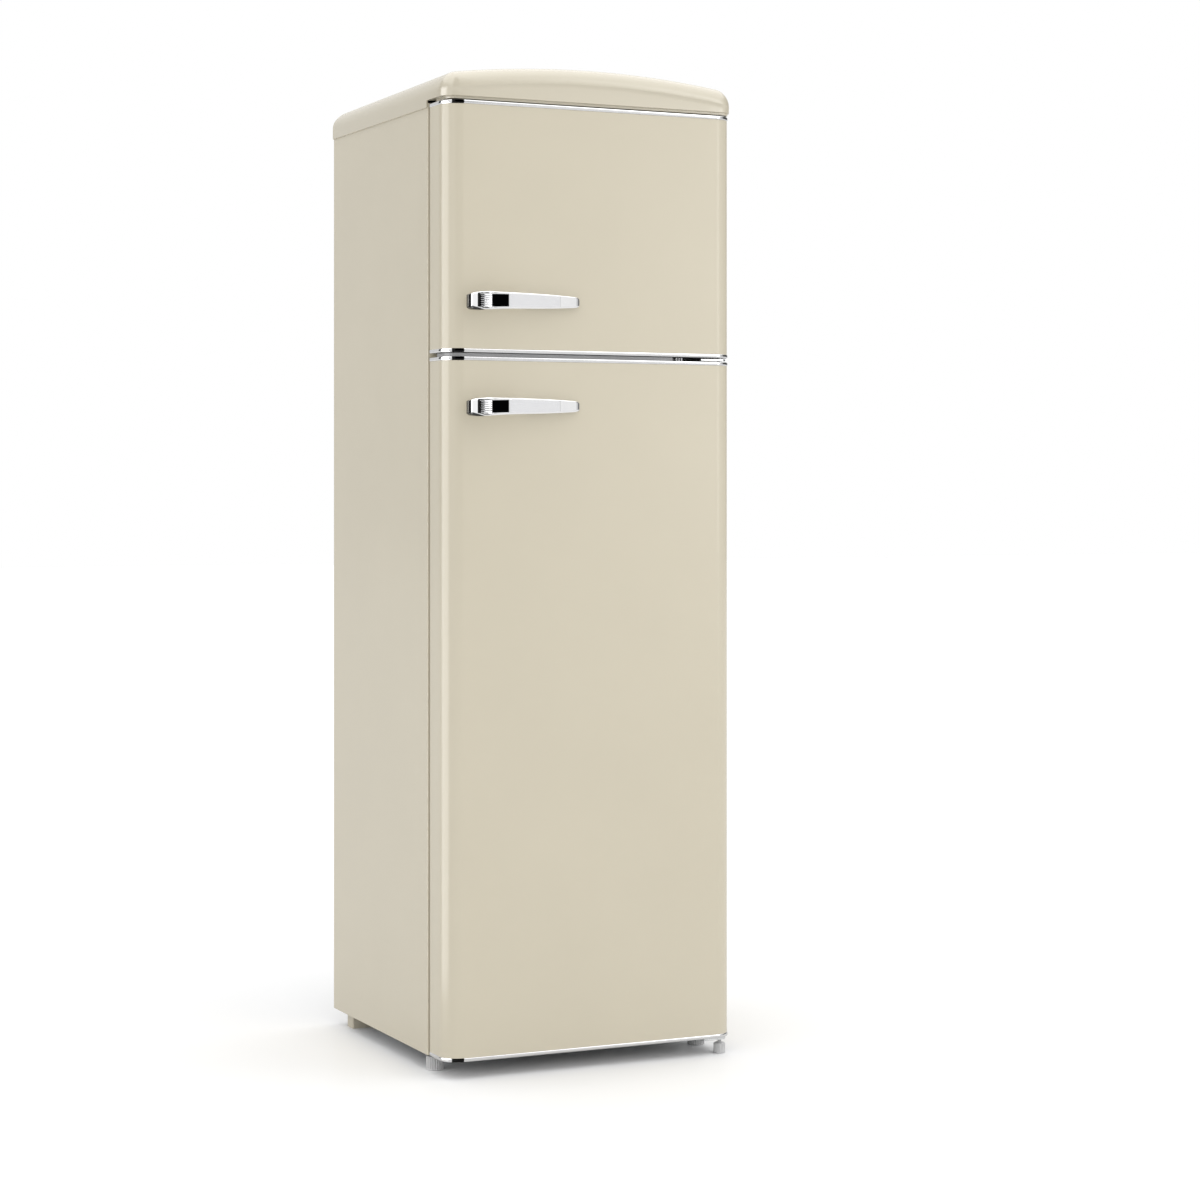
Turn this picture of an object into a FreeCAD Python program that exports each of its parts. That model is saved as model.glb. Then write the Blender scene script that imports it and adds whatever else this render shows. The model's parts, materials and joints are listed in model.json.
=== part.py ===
import FreeCAD, Part
import math
import os
from FreeCAD import Vector as V

# Retro two-door fridge-freezer, freezer compartment on top, doors hinged on the right.
# Millimetres. +Z up, origin on the floor under the middle of the whole object, the doors face -Y.

os.makedirs("parts", exist_ok=True)

# ---------------------------------------------------------------- driving dimensions
CAB_HW = 275.5          # half width of the cabinet
COVER_HW = 278.0        # half width of the top cover
Y_FRONT = -176.5        # front plane of the cabinet, where the gaskets seal
Y_REAR = 306.0          # rear edges of the side panels
Y_COVER_REAR = 307.5    # rear of the top cover
Z_BASE = 29.0           # underside of the cabinet
Z_TOP = 1675.0          # top panel of the cabinet
Z_CROWN = 1740.0        # crown of the domed cover
SHEET = 0.8             # steel sheet
Z_SKIRT = 1667.0        # lower edge of the cover at the sides
Z_COVER_FRONT = 1679.0  # underside of the cover above the freezer door
COVER_R = 1865.0        # radius of the dome
COVER_FILLET = 26.0     # rounding of the cover's upper edges
COVER_CORNER_F = 28.0   # vertical front corners of the cover
COVER_CORNER_R = 4.0    # vertical rear corners of the cover
COVER_FALL = 5.0        # how much lower the crown is at the rear

Y_DOOR_BACK = -186.5    # rear plane of the doors
Y_DOOR_FRONT = -262.5   # front plane of the doors
DOOR_CORNER = 32.0      # vertical front corner radius
FRIDGE_DOOR = (30.6, 1233.9)
FREEZER_DOOR = (1241.2, 1671.9)
TRIM_H = 6.5            # height of a chrome trim
TRIM_PROUD = 1.25       # how far it stands out
TRIM_IN = 0.8           # how far it goes in, as deep as the skin

HINGE_X, HINGE_Y = 258.0, -242.5   # axis of both doors
PIN_R = 4.0
PIN_R_LOW = 5.0
RUN = 0.05              # radial running clearance

CAV_HW = 227.5          # half width of both cavities
LINER = 1.5             # liner wall
FRIDGE_CAV = (76.0, 1204.0)
FREEZER_CAV = (1275.0, 1629.0)
Y_CAV_REAR = 230.0
LIP_HW = 235.5          # outer edge of the liner's front lip
Y_REAR_PANEL = 277.0

SHELF_Z = (540.0, 760.0, 980.0)    # tops of the glass shelves
CRISPER_COVER_Z = 300.0
RIB_IN = 219.5          # inner face of the shelf ribs

HANDLE_Z = (1148.9, 1329.2)        # centre lines of the handles
HANDLE_OUT = 45.0                  # how far the handle's head stands in front of the door

FOOT_X, FOOT_Y, FOOT_R, FOOT_H = 254.5, -157.5, 15.5, 24.0


# ---------------------------------------------------------------- helpers
def box(x0, x1, y0, y1, z0, z1):
    return Part.makeBox(x1 - x0, y1 - y0, z1 - z0, V(x0, y0, z0))


def cylz(x, y, r, z0, z1):
    return Part.makeCylinder(r, z1 - z0, V(x, y, z0), V(0, 0, 1))


def cyly(x, z, r, y0, y1):
    return Part.makeCylinder(r, y1 - y0, V(x, y0, z), V(0, 1, 0))


def cylx(y, z, r, x0, x1):
    return Part.makeCylinder(r, x1 - x0, V(x0, y, z), V(1, 0, 0))


def fuse(shapes):
    shapes = list(shapes)
    s = shapes[0]
    if len(shapes) > 1:
        s = s.multiFuse(shapes[1:])
    return s.removeSplitter()


def cut(s, *tools):
    for t in tools:
        s = s.cut(t)
    return s


def poly_xy(pts, z0, z1):
    w = Part.makePolygon([V(x, y, z0) for x, y in pts] + [V(pts[0][0], pts[0][1], z0)])
    return Part.Face(w).extrude(V(0, 0, z1 - z0))


def poly_yz(pts, x0, x1):
    w = Part.makePolygon([V(x0, y, z) for y, z in pts] + [V(x0, pts[0][0], pts[0][1])])
    return Part.Face(w).extrude(V(x1 - x0, 0, 0))


def poly_xz(pts, y0, y1):
    w = Part.makePolygon([V(x, y0, z) for x, z in pts] + [V(pts[0][0], y0, pts[0][1])])
    return Part.Face(w).extrude(V(0, y1 - y0, 0))


def edges_where(shape, test):
    out = []
    for e in shape.Edges:
        b = e.BoundBox
        if test(b, e):
            out.append(e)
    return out


def is_vertical(b, tol=1e-3):
    return b.XLength < tol and b.YLength < tol


def pipe(points, r, bend):
    """Round tube along straight runs joined by tangent arcs."""
    pts = [V(*p) for p in points]
    edges = []
    start = pts[0]
    for i in range(1, len(pts) - 1):
        a, b, c = pts[i - 1], pts[i], pts[i + 1]
        u = (a - b).normalize()
        w = (c - b).normalize()
        ang = u.getAngle(w)
        d = bend / math.tan(ang / 2)
        p0 = b + u * d
        p1 = b + w * d
        mid_dir = (u + w).normalize()
        centre = b + mid_dir * (bend / math.sin(ang / 2))
        pm = centre - mid_dir * bend
        if (p0 - start).Length > 1e-6:
            edges.append(Part.LineSegment(start, p0).toShape())
        edges.append(Part.Arc(p0, pm, p1).toShape())
        start = p1
    edges.append(Part.LineSegment(start, pts[-1]).toShape())
    wire = Part.Wire(edges)
    t = (pts[1] - pts[0]).normalize()
    prof = Part.Wire([Part.makeCircle(r, pts[0], t)])
    s = wire.makePipeShell([prof], True, False)
    if s.ShapeType != "Solid":
        s = Part.makeSolid(s) if s.ShapeType == "Shell" else s.Solids[0]
    return s


def rrect(hw, y0, y1, rf, rr, z0, z1):
    """Prism with a rounded rectangular plan: rf at the two front corners, rr at the rear ones."""
    s = box(-hw, hw, y0, y1, z0, z1)
    if rf > 0:
        s = s.makeFillet(rf, edges_where(s, lambda b, e: is_vertical(b) and abs(b.YMin - y0) < 1e-3))
    if rr > 0:
        s = s.makeFillet(rr, edges_where(s, lambda b, e: is_vertical(b) and abs(b.YMin - y1) < 1e-3))
    return s


NODES = {}


def put(name, shape):
    solids = shape if isinstance(shape, (list, tuple)) else [shape]
    flat = []
    for s in solids:
        flat.extend(s.Solids)
    NODES[name] = flat


# ---------------------------------------------------------------- cabinet sheet metal
T = SHEET


def side_panel(sgn):
    x_out, x_in = CAB_HW, CAB_HW - T
    sheet = box(x_in, x_out, Y_FRONT, Y_REAR, Z_BASE, Z_TOP)
    front = box(LIP_HW, x_in, Y_FRONT, Y_FRONT + T, Z_BASE, Z_TOP - T)
    rear = box(x_in - 13.0, x_in, Y_REAR - T, Y_REAR, Z_BASE, Z_TOP - T)
    s = fuse([sheet, front, rear])
    if sgn < 0:
        s = s.mirror(V(0, 0, 0), V(1, 0, 0))
    return s


put("side_panel_left", side_panel(-1))
put("side_panel_right", side_panel(1))

XI = CAB_HW - T          # inner face of the side sheets
top = fuse([
    box(-XI, XI, Y_FRONT, Y_REAR, Z_TOP - T, Z_TOP),
    box(-LIP_HW, LIP_HW, Y_FRONT, Y_FRONT + T, 1637.0, Z_TOP - T),
    box(-(XI - 13.0), XI - 13.0, Y_REAR - T, Y_REAR, Z_TOP - 14.0, Z_TOP - T),
])
put("cabinet_top_panel", top)

rear_panel = box(-XI, XI, Y_REAR_PANEL, Y_REAR_PANEL + T, 241.0, Z_TOP - T)
for zz in (300.0, 690.0, 1080.0, 1470.0):
    # shallow pressed beads that stiffen the sheet
    bead = box(-200, 200, Y_REAR_PANEL + T, Y_REAR_PANEL + 2.2, zz - 8, zz + 8)
    bead = bead.makeChamfer(1.1, edges_where(bead, lambda b, e: abs(b.YMin - (Y_REAR_PANEL + 2.2)) < 1e-3 and b.YLength < 1e-3))
    rear_panel = rear_panel.fuse(bead)
rear_panel = rear_panel.removeSplitter()
put("rear_panel", rear_panel)

DRAIN_X, DRAIN_Y = 120.0, 205.0
comp_panel = poly_yz([(130.0, Z_BASE), (131.0, Z_BASE), (131.0, 204.6), (170.4, 240.0), (Y_REAR_PANEL + T, 240.0),
                      (Y_REAR_PANEL + T, 241.0), (170.0, 241.0), (130.0, 205.05)], -XI, XI)
comp_panel = cut(comp_panel, cylz(DRAIN_X, DRAIN_Y, 8.0, 230, 250))
put("compartment_panel", comp_panel)

pan = fuse([
    box(-XI, XI, Y_FRONT + T, 130.0, Z_BASE, Z_BASE + T),
    box(-LIP_HW, LIP_HW, Y_FRONT, Y_FRONT + T, Z_BASE, 68.0),
    cylz(-FOOT_X, FOOT_Y, 9.0, Z_BASE + T, 46.0),
    cylz(FOOT_X, FOOT_Y, 9.0, Z_BASE + T, 46.0),
])
pan = cut(pan, cylz(-FOOT_X, FOOT_Y, 4.0 + RUN, 20, 60), cylz(FOOT_X, FOOT_Y, 4.0 + RUN, 20, 60))
put("base_pan", pan)

mullion = fuse([
    box(-LIP_HW, LIP_HW, Y_FRONT, Y_FRONT + T, 1212.0, 1267.0),
    box(-LIP_HW, LIP_HW, Y_FRONT + T, Y_FRONT + 18.0, 1220.0, 1221.0),
    box(-LIP_HW, LIP_HW, Y_FRONT + T, Y_FRONT + 18.0, 1258.0, 1259.0),
])
put("mullion_rail", mullion)


# ---------------------------------------------------------------- liners
def liner_cavity(kind, off):
    """Cavity volume grown by off on every wall but the open front."""
    hw = CAV_HW + off
    yf = Y_FRONT - 1
    if kind == "fridge":
        z0, z1 = FRIDGE_CAV
        ys = 85.0       # front of the step above the compressor
        pts = [(yf, z0 - off), (ys + off, z0 - off), (ys + off, 255.0 - 0.41 * off), (ys + 28.0 + 0.41 * off, 286.0 - off),
               (Y_CAV_REAR + off, 286.0 - off), (Y_CAV_REAR + off, z1 + off), (yf, z1 + off)]
    else:
        z0, z1 = FREEZER_CAV
        pts = [(yf, z0 - off), (Y_CAV_REAR + off, z0 - off), (Y_CAV_REAR + off, z1 + off), (yf, z1 + off)]
    s = poly_yz(pts, -hw, hw)
    r = 10.0 + off
    s = s.makeFillet(r, edges_where(s, lambda b, e: b.XLength < 1e-3 and b.ZLength < 1e-3 and b.YMin < Y_FRONT))
    back = edges_where(s, lambda b, e: b.YLength < 1e-3 and b.YMin > Y_CAV_REAR + off - 1e-2)
    return s.makeFillet(r - 2.0, back)


def make_liner(kind):
    inner = liner_cavity(kind, 0.0)
    outer = liner_cavity(kind, LINER)
    z0, z1 = FRIDGE_CAV if kind == "fridge" else FREEZER_CAV
    ribs_z = [CRISPER_COVER_Z - 4] + [z - 4 for z in SHELF_Z] if kind == "fridge" else [1446.0]
    front_cut = box(-400, 400, Y_FRONT - 50, Y_FRONT, 0, 2000)
    tub = cut(outer, inner, front_cut)
    lip = cut(box(-LIP_HW, LIP_HW, Y_FRONT, Y_FRONT + LINER, z0 - 8.0, z1 + 8.0), inner)
    parts = [tub, lip]
    for zr in ribs_z:
        y1 = 216.0
        for s in (-1, 1):
            rib = box(RIB_IN, CAV_HW + 0.7, -112.0, y1, zr - 7.0, zr)
            rib = rib.makeFillet(2.5, edges_where(rib, lambda b, e: abs(b.XMin - RIB_IN) < 1e-3 and b.XLength < 1e-3
                                                  and b.YLength < 1e-3 or (abs(b.XMax - RIB_IN) < 1e-3 and b.ZMax < zr - 6.9 and b.XLength < 1e-3)))
            if s < 0:
                rib = rib.mirror(V(0, 0, 0), V(1, 0, 0))
            parts.append(rib)
    s = fuse(parts)
    filled = fuse([cut(outer, front_cut), box(-LIP_HW, LIP_HW, Y_FRONT, Y_FRONT + LINER, z0 - 8.0, z1 + 8.0)])
    return s, filled


fridge_liner, fridge_filled = make_liner("fridge")
fridge_liner = cut(fridge_liner, cylz(DRAIN_X, DRAIN_Y, 6.0, 270, 300))
put("fridge_liner", fridge_liner)
freezer_liner, freezer_filled = make_liner("freezer")
put("freezer_liner", freezer_liner)

# evaporator plates, foamed in behind both liners
EV_Y = Y_CAV_REAR + LINER
evap = [box(-190, 190, EV_Y, EV_Y + 1.5, 1310, 1590), box(-170, 170, EV_Y, EV_Y + 1.5, 790, 1150)]
put("evaporator", evap)

# drain tube from the floor of the rear step down into the evaporation tray
drain = cut(cylz(DRAIN_X, DRAIN_Y, 8.0, 212.0, 286.0 - LINER), cylz(DRAIN_X, DRAIN_Y, 6.0, 200.0, 300.0))
put("drain_tube", drain)

foam = cut(box(-XI, XI, Y_FRONT + T, Y_REAR_PANEL, Z_BASE + T, Z_TOP - T),
           poly_yz([(130.0, 0.0), (400.0, 0.0), (400.0, 241.0), (170.0, 241.0), (130.0, 205.05)], -400, 400),
           fridge_filled, freezer_filled,
           box(-LIP_HW, LIP_HW, Y_FRONT, Y_FRONT + 18.0, 1220.0, 1221.0),
           box(-LIP_HW, LIP_HW, Y_FRONT, Y_FRONT + 18.0, 1258.0, 1259.0),
           cylz(-FOOT_X, FOOT_Y, 9.0, Z_BASE, 60.0), cylz(FOOT_X, FOOT_Y, 9.0, Z_BASE, 60.0),
           cylz(DRAIN_X, DRAIN_Y, 8.0, 230.0, 300.0),
           evap[0], evap[1])


# ---------------------------------------------------------------- domed top cover
def cover_outer(off, zlow):
    """Domed block: rounded plan, barrel-shaped top, all upper edges rounded."""
    hw = COVER_HW - off
    y0, y1 = -263.0 + off, Y_COVER_REAR - off
    r = COVER_R - off
    cz = Z_CROWN - COVER_R
    zs = cz + math.sqrt(r * r - hw * hw)
    arc = Part.Arc(V(-hw, y0, zs), V(0, y0, Z_CROWN - off), V(hw, y0, zs)).toShape()
    wire = Part.Wire([Part.LineSegment(V(-hw, y0, zlow), V(-hw, y0, zs)).toShape(), arc,
                      Part.LineSegment(V(hw, y0, zs), V(hw, y0, zlow)).toShape(),
                      Part.LineSegment(V(hw, y0, zlow), V(-hw, y0, zlow)).toShape()])
    s = Part.Face(wire).extrude(V(0, y1 - y0, -COVER_FALL))
    s = s.makeFillet(COVER_CORNER_F - off, edges_where(s, lambda b, e: is_vertical(b) and abs(b.YMin - y0) < 1e-3))
    s = s.makeFillet(COVER_FILLET - off, edges_where(s, lambda b, e: b.ZMin > 1700.0))
    if COVER_CORNER_R > off:
        s = s.common(rrect(hw, y0 - 5.0, y1, 0, COVER_CORNER_R - off, 1500, 1800))
    return cut(s, box(-400, 400, -400, 400, 1500, zlow))


cov_out = cover_outer(0.0, Z_SKIRT)
cov_in = cover_outer(3.0, Z_SKIRT - 10.0)
# outer body: skirt only behind the cabinet's front plane, raised edge above the doors
cov_out = cut(cov_out, box(-400, 400, -400, Y_FRONT, Z_SKIRT - 5, Z_COVER_FRONT))
hollow = cut(cov_in, box(-400, 400, -400, Y_FRONT + 4.0, 1600, Z_COVER_FRONT + 3.0))
# the skirt hugs the cabinet, the hollow above it is narrower
skirt_space = box(-CAB_HW, CAB_HW, Y_FRONT, Y_REAR, 1600, Z_TOP)
hollow_up = cut(hollow, box(-400, 400, -400, 400, 1600, Z_TOP))
# the top hinge plate passes under a notch in the cover's front wall
hinge_notch = box(194.0, 270.5, Y_FRONT - 1.0, Y_FRONT + 6.0, Z_TOP - 1.0, Z_TOP + 3.4)
cover = cut(cov_out, skirt_space, hollow_up, hinge_notch)
# drip lip in the gap above the freezer door
cover = fuse([cover, box(-244.0, 190.0, -259.0, -256.0, Z_TOP - 0.8, Z_COVER_FRONT + 1.0)])
put("top_cover", cover)

# ---------------------------------------------------------------- hinges
HX, HY = HINGE_X, HINGE_Y


def arm_plate(x_left, y_back, z0, z1, r_end, x_right=268.5, neck=False):
    """Flat plate that carries a hinge pin: wide at the cabinet, rounded about the axis."""
    s = poly_xy([(x_left, y_back), (x_left, Y_FRONT - 6.0), (x_left + 26.0, HY - r_end), (HX, HY - r_end),
                 (x_right, HY), (x_right, y_back)], z0, z1)
    s = s.fuse(cylz(HX, HY, r_end, z0, z1))
    return s.removeSplitter()


top_plate = arm_plate(196.0, -112.0, Z_TOP, Z_TOP + 3.0, 10.5)
# middle bracket: plate in the gap between the doors, flange screwed to the mullion
mid_z0, mid_z1 = 1235.8, 1239.3
mid = fuse([arm_plate(190.0, Y_FRONT, mid_z0, mid_z1, 10.5), box(190.0, 268.5, Y_FRONT - 2.5, Y_FRONT, 1225.3, 1249.8)])
bot = arm_plate(196.0, -112.0, Z_BASE - 4.0, Z_BASE, 10.5)
# clear the foot screw's boss under the pan
bot = cut(bot, cylz(FOOT_X, FOOT_Y, 7.0, 0, 60))

SCREWS = []


def pan_screw(x, y, z, up, r_head=5.0, h_head=2.6, r=2.2, length=6.0, drive=1.3):
    """Domed screw along Z, head on the up side when up is +1."""
    if up > 0:
        head = cylz(x, y, r_head, z, z + h_head)
        head = head.makeFillet(1.2, [e for e in head.Edges if abs(e.BoundBox.ZMin - (z + h_head)) < 1e-3 and e.BoundBox.ZLength < 1e-3])
        s = head.fuse(cylz(x, y, r, z - length, z))
        s = cut(s, box(x - 3.0, x + 3.0, y - 0.5, y + 0.5, z + h_head - drive, z + h_head + 1),
                box(x - 0.5, x + 0.5, y - 3.0, y + 3.0, z + h_head - drive, z + h_head + 1))
    else:
        head = cylz(x, y, r_head, z - h_head, z)
        head = head.makeFillet(1.2, [e for e in head.Edges if abs(e.BoundBox.ZMax - (z - h_head)) < 1e-3 and e.BoundBox.ZLength < 1e-3])
        s = head.fuse(cylz(x, y, r, z, z + length))
        s = cut(s, box(x - 3.0, x + 3.0, y - 0.5, y + 0.5, z - h_head - 1, z - h_head + drive),
                box(x - 0.5, x + 0.5, y - 3.0, y + 3.0, z - h_head - 1, z - h_head + drive))
    return s.removeSplitter()


def front_screw(x, z, y, r_head=5.0, h_head=2.8, r=2.2, length=8.0):
    """Hexagonal flanged screw along Y, head towards -Y."""
    hexa = []
    for k in range(6):
        a = math.radians(60 * k)
        hexa.append((x + 4.0 * math.cos(a), z + 4.0 * math.sin(a)))
    s = poly_xz(hexa, y - h_head - 0.8, y - 0.8)
    s = s.fuse(cyly(x, z, r_head, y - 0.8, y)).fuse(cyly(x, z, r, y, y + length))
    return s.removeSplitter()


top_screw_pos = [(212.0, -130.0), (212.0, -158.0), (256.0, -130.0)]
for x, y in top_screw_pos:
    SCREWS.append(pan_screw(x, y, Z_TOP + 3.0, 1, length=9.0))
    hole = cylz(x, y, 2.2, Z_TOP - 20, Z_TOP + 10)
    top_plate = top_plate.cut(hole)
    NODES["cabinet_top_panel"] = NODES["cabinet_top_panel"][0].cut(hole).Solids
    foam = foam.cut(cylz(x, y, 2.2, Z_TOP - 6.0, Z_TOP))
for x in (199.0, 222.5, 246.0):
    sc = front_screw(x, 1244.8, Y_FRONT - 2.5, h_head=2.4, r_head=4.6, length=9.0)
    SCREWS.append(sc)
    hole = cyly(x, 1244.8, 2.2, Y_FRONT - 10, Y_FRONT + 6.5)
    mid = mid.cut(hole)
    if x < 235:
        NODES["mullion_rail"] = NODES["mullion_rail"][0].cut(hole).Solids
    else:
        NODES["side_panel_right"] = NODES["side_panel_right"][0].cut(hole).Solids
    foam = foam.cut(hole)
for x, y in [(212.0, -160.0), (212.0, -128.0), (232.0, -128.0)]:
    SCREWS.append(pan_screw(x, y, Z_BASE - 4.0, -1, length=9.0))
    hole = cylz(x, y, 2.2, Z_BASE - 10, Z_BASE + 5.0)
    bot = bot.cut(hole)
    NODES["base_pan"] = NODES["base_pan"][0].cut(hole).Solids
    foam = foam.cut(hole)
foam = foam.removeSplitter()
put("cabinet_foam", foam)

pin_top = cylz(HX, HY, PIN_R, 1657.9, Z_TOP + 3.0)
pin_mid = cylz(HX, HY, PIN_R, 1220.1, 1255.0)
pin_low = cut(cylz(HX, HY, PIN_R_LOW, Z_BASE - 4.0, 44.4), cylz(HX, HY, 3.0 + RUN, 0.0, 38.0))
top_plate = top_plate.cut(cylz(HX, HY, PIN_R, 1600, 1700))
mid = mid.cut(cylz(HX, HY, PIN_R, 1200, 1300))
bot = bot.cut(cylz(HX, HY, PIN_R_LOW, 0, 60))
put("top_hinge_plate", top_plate)
put("middle_hinge_bracket", mid)
put("bottom_hinge_bracket", bot)
put("hinge_pins", [pin_top, pin_mid, pin_low])


# ---------------------------------------------------------------- feet and legs
def knurled(x, y, r, z0, z1, n, depth):
    """Round disc with a fluted wheel on top of it."""
    disc = cylz(x, y, r, z0, z0 + 2.5)
    disc = disc.makeFillet(1.2, [e for e in disc.Edges if e.BoundBox.ZLength < 1e-3 and e.BoundBox.ZMax < z0 + 0.1])
    pts = []
    for k in range(n):
        for f, q in ((-0.26, r), (0.26, r), (0.38, r - depth), (0.62, r - depth)):
            a = 2 * math.pi * (k + f) / n
            pts.append((x + q * math.cos(a), y + q * math.sin(a)))
    return disc.fuse(poly_xy(pts, z0 + 2.5, z1))


def front_foot(x):
    s = knurled(x, FOOT_Y, FOOT_R, 0.0, FOOT_H, 22, 1.5)
    s = s.fuse(cylz(x, FOOT_Y, 4.0, FOOT_H, 45.0))
    return s.removeSplitter()


put("front_foot_left", front_foot(-FOOT_X))
put("front_foot_right", front_foot(FOOT_X))
hf = knurled(HX, HY, 10.5, 0.0, 18.5, 16, 1.3)
hf = hf.fuse(Part.makeCone(5.0, 3.0, 2.5, V(HX, HY, 18.5), V(0, 0, 1))).fuse(cylz(HX, HY, 3.0, 21.0, 37.0))
put("hinge_foot", hf.removeSplitter())

legs = []
for s in (-1, 1):
    x0, x1 = sorted((s * 204.0, s * 262.0))
    leg = box(x0, x1, 238.5, 268.5, 0.0, Z_BASE)
    leg = leg.makeFillet(3.0, edges_where(leg, lambda b, e: is_vertical(b)))
    pocket = box(x0 + 8, x1 - 8, 246.0, 261.0, -1.0, 12.0)
    legs.append(leg.cut(pocket))
put("rear_legs", legs)

# ---------------------------------------------------------------- compressor compartment
base = fuse([box(-XI, XI, 131.0, 300.0, Z_BASE, Z_BASE + 2.0), box(-XI + 2, XI - 2, 298.5, 300.0, Z_BASE + 2.0, Z_BASE + 18.0)])
CX, CY = 120.0, 214.0
mount_xy = [(CX - 72, CY - 52), (CX + 72, CY - 52), (CX - 72, CY + 52), (CX + 72, CY + 52)]
for x, y in mount_xy:
    base = base.cut(cylz(x, y, 3.0, 0, 60))
put("compressor_base", base.removeSplitter())

pot_r = 70.0
low = cylz(CX, CY, pot_r, 46.0, 118.0)
low = low.makeFillet(24.0, [e for e in low.Edges if e.BoundBox.ZLength < 1e-3 and abs(e.BoundBox.ZMin - 46.0) < 1e-3])
up = cylz(CX, CY, pot_r - 2.0, 122.0, 186.0)
up = up.makeFillet(30.0, [e for e in up.Edges if e.BoundBox.ZLength < 1e-3 and abs(e.BoundBox.ZMin - 186.0) < 1e-3])
seam = cylz(CX, CY, pot_r + 4.0, 117.0, 123.0)
seam = seam.makeFillet(2.0, [e for e in seam.Edges if e.BoundBox.ZLength < 1e-3])
foot_plate = box(CX - 84, CX + 84, CY - 64, CY + 64, 41.0, 44.0)
foot_plate = foot_plate.makeFillet(12.0, edges_where(foot_plate, lambda b, e: is_vertical(b)))
foot_stub = cylz(CX, CY, 40.0, 43.0, 50.0)
comp = fuse([low, up, seam, foot_plate, foot_stub])
for x, y in mount_xy:
    comp = comp.cut(cylz(x, y, 5.0, 40, 46))

mounts = []
for x, y in mount_xy:
    m = fuse([cylz(x, y, 9.0, Z_BASE + 2.0, 41.0), cylz(x, y, 5.0, 41.0, 44.0), cylz(x, y, 8.0, 44.0, 50.0)])
    m = m.cut(cylz(x, y, 3.0, 0, 80))
    mounts.append(m)
    bolt = fuse([cylz(x, y, 3.0, Z_BASE - 0.0, 50.0), cylz(x, y, 7.5, 50.0, 51.2)])
    hexa = [(x + 5.2 * math.cos(math.radians(60 * k)), y + 5.2 * math.sin(math.radians(60 * k))) for k in range(6)]
    bolt = bolt.fuse(poly_xy(hexa, 51.2, 55.5)).removeSplitter()
    SCREWS.append(bolt)
put("compressor_mounts", mounts)

# terminal cover on the left of the pot with the gland of the power cord
tc = box(CX - 104.0, CX - 55.0, CY - 34.0, CY + 34.0, 66.0, 112.0)
tc = tc.makeFillet(5.0, edges_where(tc, lambda b, e: b.XMax < CX - 103.9 and b.XLength < 1e-3))
tc = tc.cut(cylz(CX, CY, pot_r + 0.4, 40, 116.6))
tc_in = box(CX - 101.5, CX - 50.0, CY - 31.5, CY + 31.5, 68.5, 109.5)
tc = tc.cut(tc_in.cut(cylz(CX, CY, pot_r + 3.0, 40, 116.6)))
gland = cylx(CY + 12.0, 88.0, 8.0, CX - 112.0, CX - 102.0)
gland = gland.makeFillet(1.5, [e for e in gland.Edges if e.BoundBox.XLength < 1e-3 and e.BoundBox.XMax < CX - 111.9])
tc = tc.fuse(gland).cut(cylx(CY + 12.0, 88.0, 3.6, CX - 120.0, CX - 100.0)).removeSplitter()
put("terminal_cover", tc)

# evaporation tray on top of the pot
TX0, TX1, TY0, TY1, TZ0, TZ1 = CX - 66.0, CX + 66.0, 160.0, 272.0, 186.4, 218.0
tray = box(TX0, TX1, TY0, TY1, TZ0, TZ1)
tray = tray.makeFillet(10.0, edges_where(tray, lambda b, e: is_vertical(b)))
tray_in = box(TX0 + 2, TX1 - 2, TY0 + 2, TY1 - 2, TZ0 + 2, TZ1 + 1)
tray_in = tray_in.makeFillet(8.0, edges_where(tray_in, lambda b, e: is_vertical(b)))
tray = tray.cut(tray_in)
put("drip_tray", tray)

# filter drier, lying along the rear left of the compartment
DRY_Y, DRY_Z = 262.0, 70.0
dr = cylx(DRY_Y, DRY_Z, 10.0, -190.0, -90.0)
dr = dr.makeFillet(6.0, [e for e in dr.Edges if e.BoundBox.XLength < 1e-3])
dr = fuse([dr, cylx(DRY_Y, DRY_Z, 4.0, -198.0, -82.0)])
put("filter_drier", dr)

# pipes: discharge line up to the condenser, condenser return to the drier, suction line, service stub
CON_Y = 292.0
tubes = []
tubes.append(pipe([(CX + 88.0, 250.0, 150.0), (CX + 120.0, 250.0, 150.0), (CX + 120.0, CON_Y, 150.0), (CX + 120.0, CON_Y, 312.0)], 2.5, 14.0))
stub_d = cylx(250.0, 150.0, 2.5, CX + 40.0, CX + 88.0)
tubes[-1] = tubes[-1].fuse(stub_d).removeSplitter()
tubes.append(pipe([(-240.0, CON_Y, 312.0), (-240.0, CON_Y, DRY_Z), (-240.0, DRY_Y, DRY_Z), (-198.0, DRY_Y, DRY_Z)], 2.5, 11.0))
tubes.append(pipe([(-82.0, DRY_Y, DRY_Z), (-40.0, DRY_Y, DRY_Z), (-40.0, 250.0 - 60.0, DRY_Z), (-40.0, 190.0, 239.9)], 1.5, 10.0))
tubes.append(pipe([(CX - 40.0, 245.0, 158.0), (CX - 110.0, 245.0, 158.0), (CX - 110.0, 245.0, 239.9)], 4.0, 16.0))
pot_solid = comp
tubes = [t.cut(pot_solid) for t in tubes]
tubes = [max(t.Solids, key=lambda s: s.Volume) for t in tubes]
put("compressor", comp)
put("refrigerant_pipes", tubes)

# ---------------------------------------------------------------- condenser on the back
PITCH = 56.0
HWC = 214.0
n_rows = 23
con = []
for k in range(n_rows):
    zr = 330.0 + PITCH * k
    con.append(cylx(CON_Y, zr, 2.5, -HWC, HWC))
    if k < n_rows - 1:
        side = 1 if k % 2 == 0 else -1
        tor = Part.makeTorus(PITCH / 2, 2.5, V(side * HWC, CON_Y, zr + PITCH / 2), V(0, 1, 0))
        half = tor.common(box(side * HWC if side > 0 else -400, 400 if side > 0 else side * HWC, CON_Y - 5, CON_Y + 5, zr - 10, zr + PITCH + 10))
        con.append(half)
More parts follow.
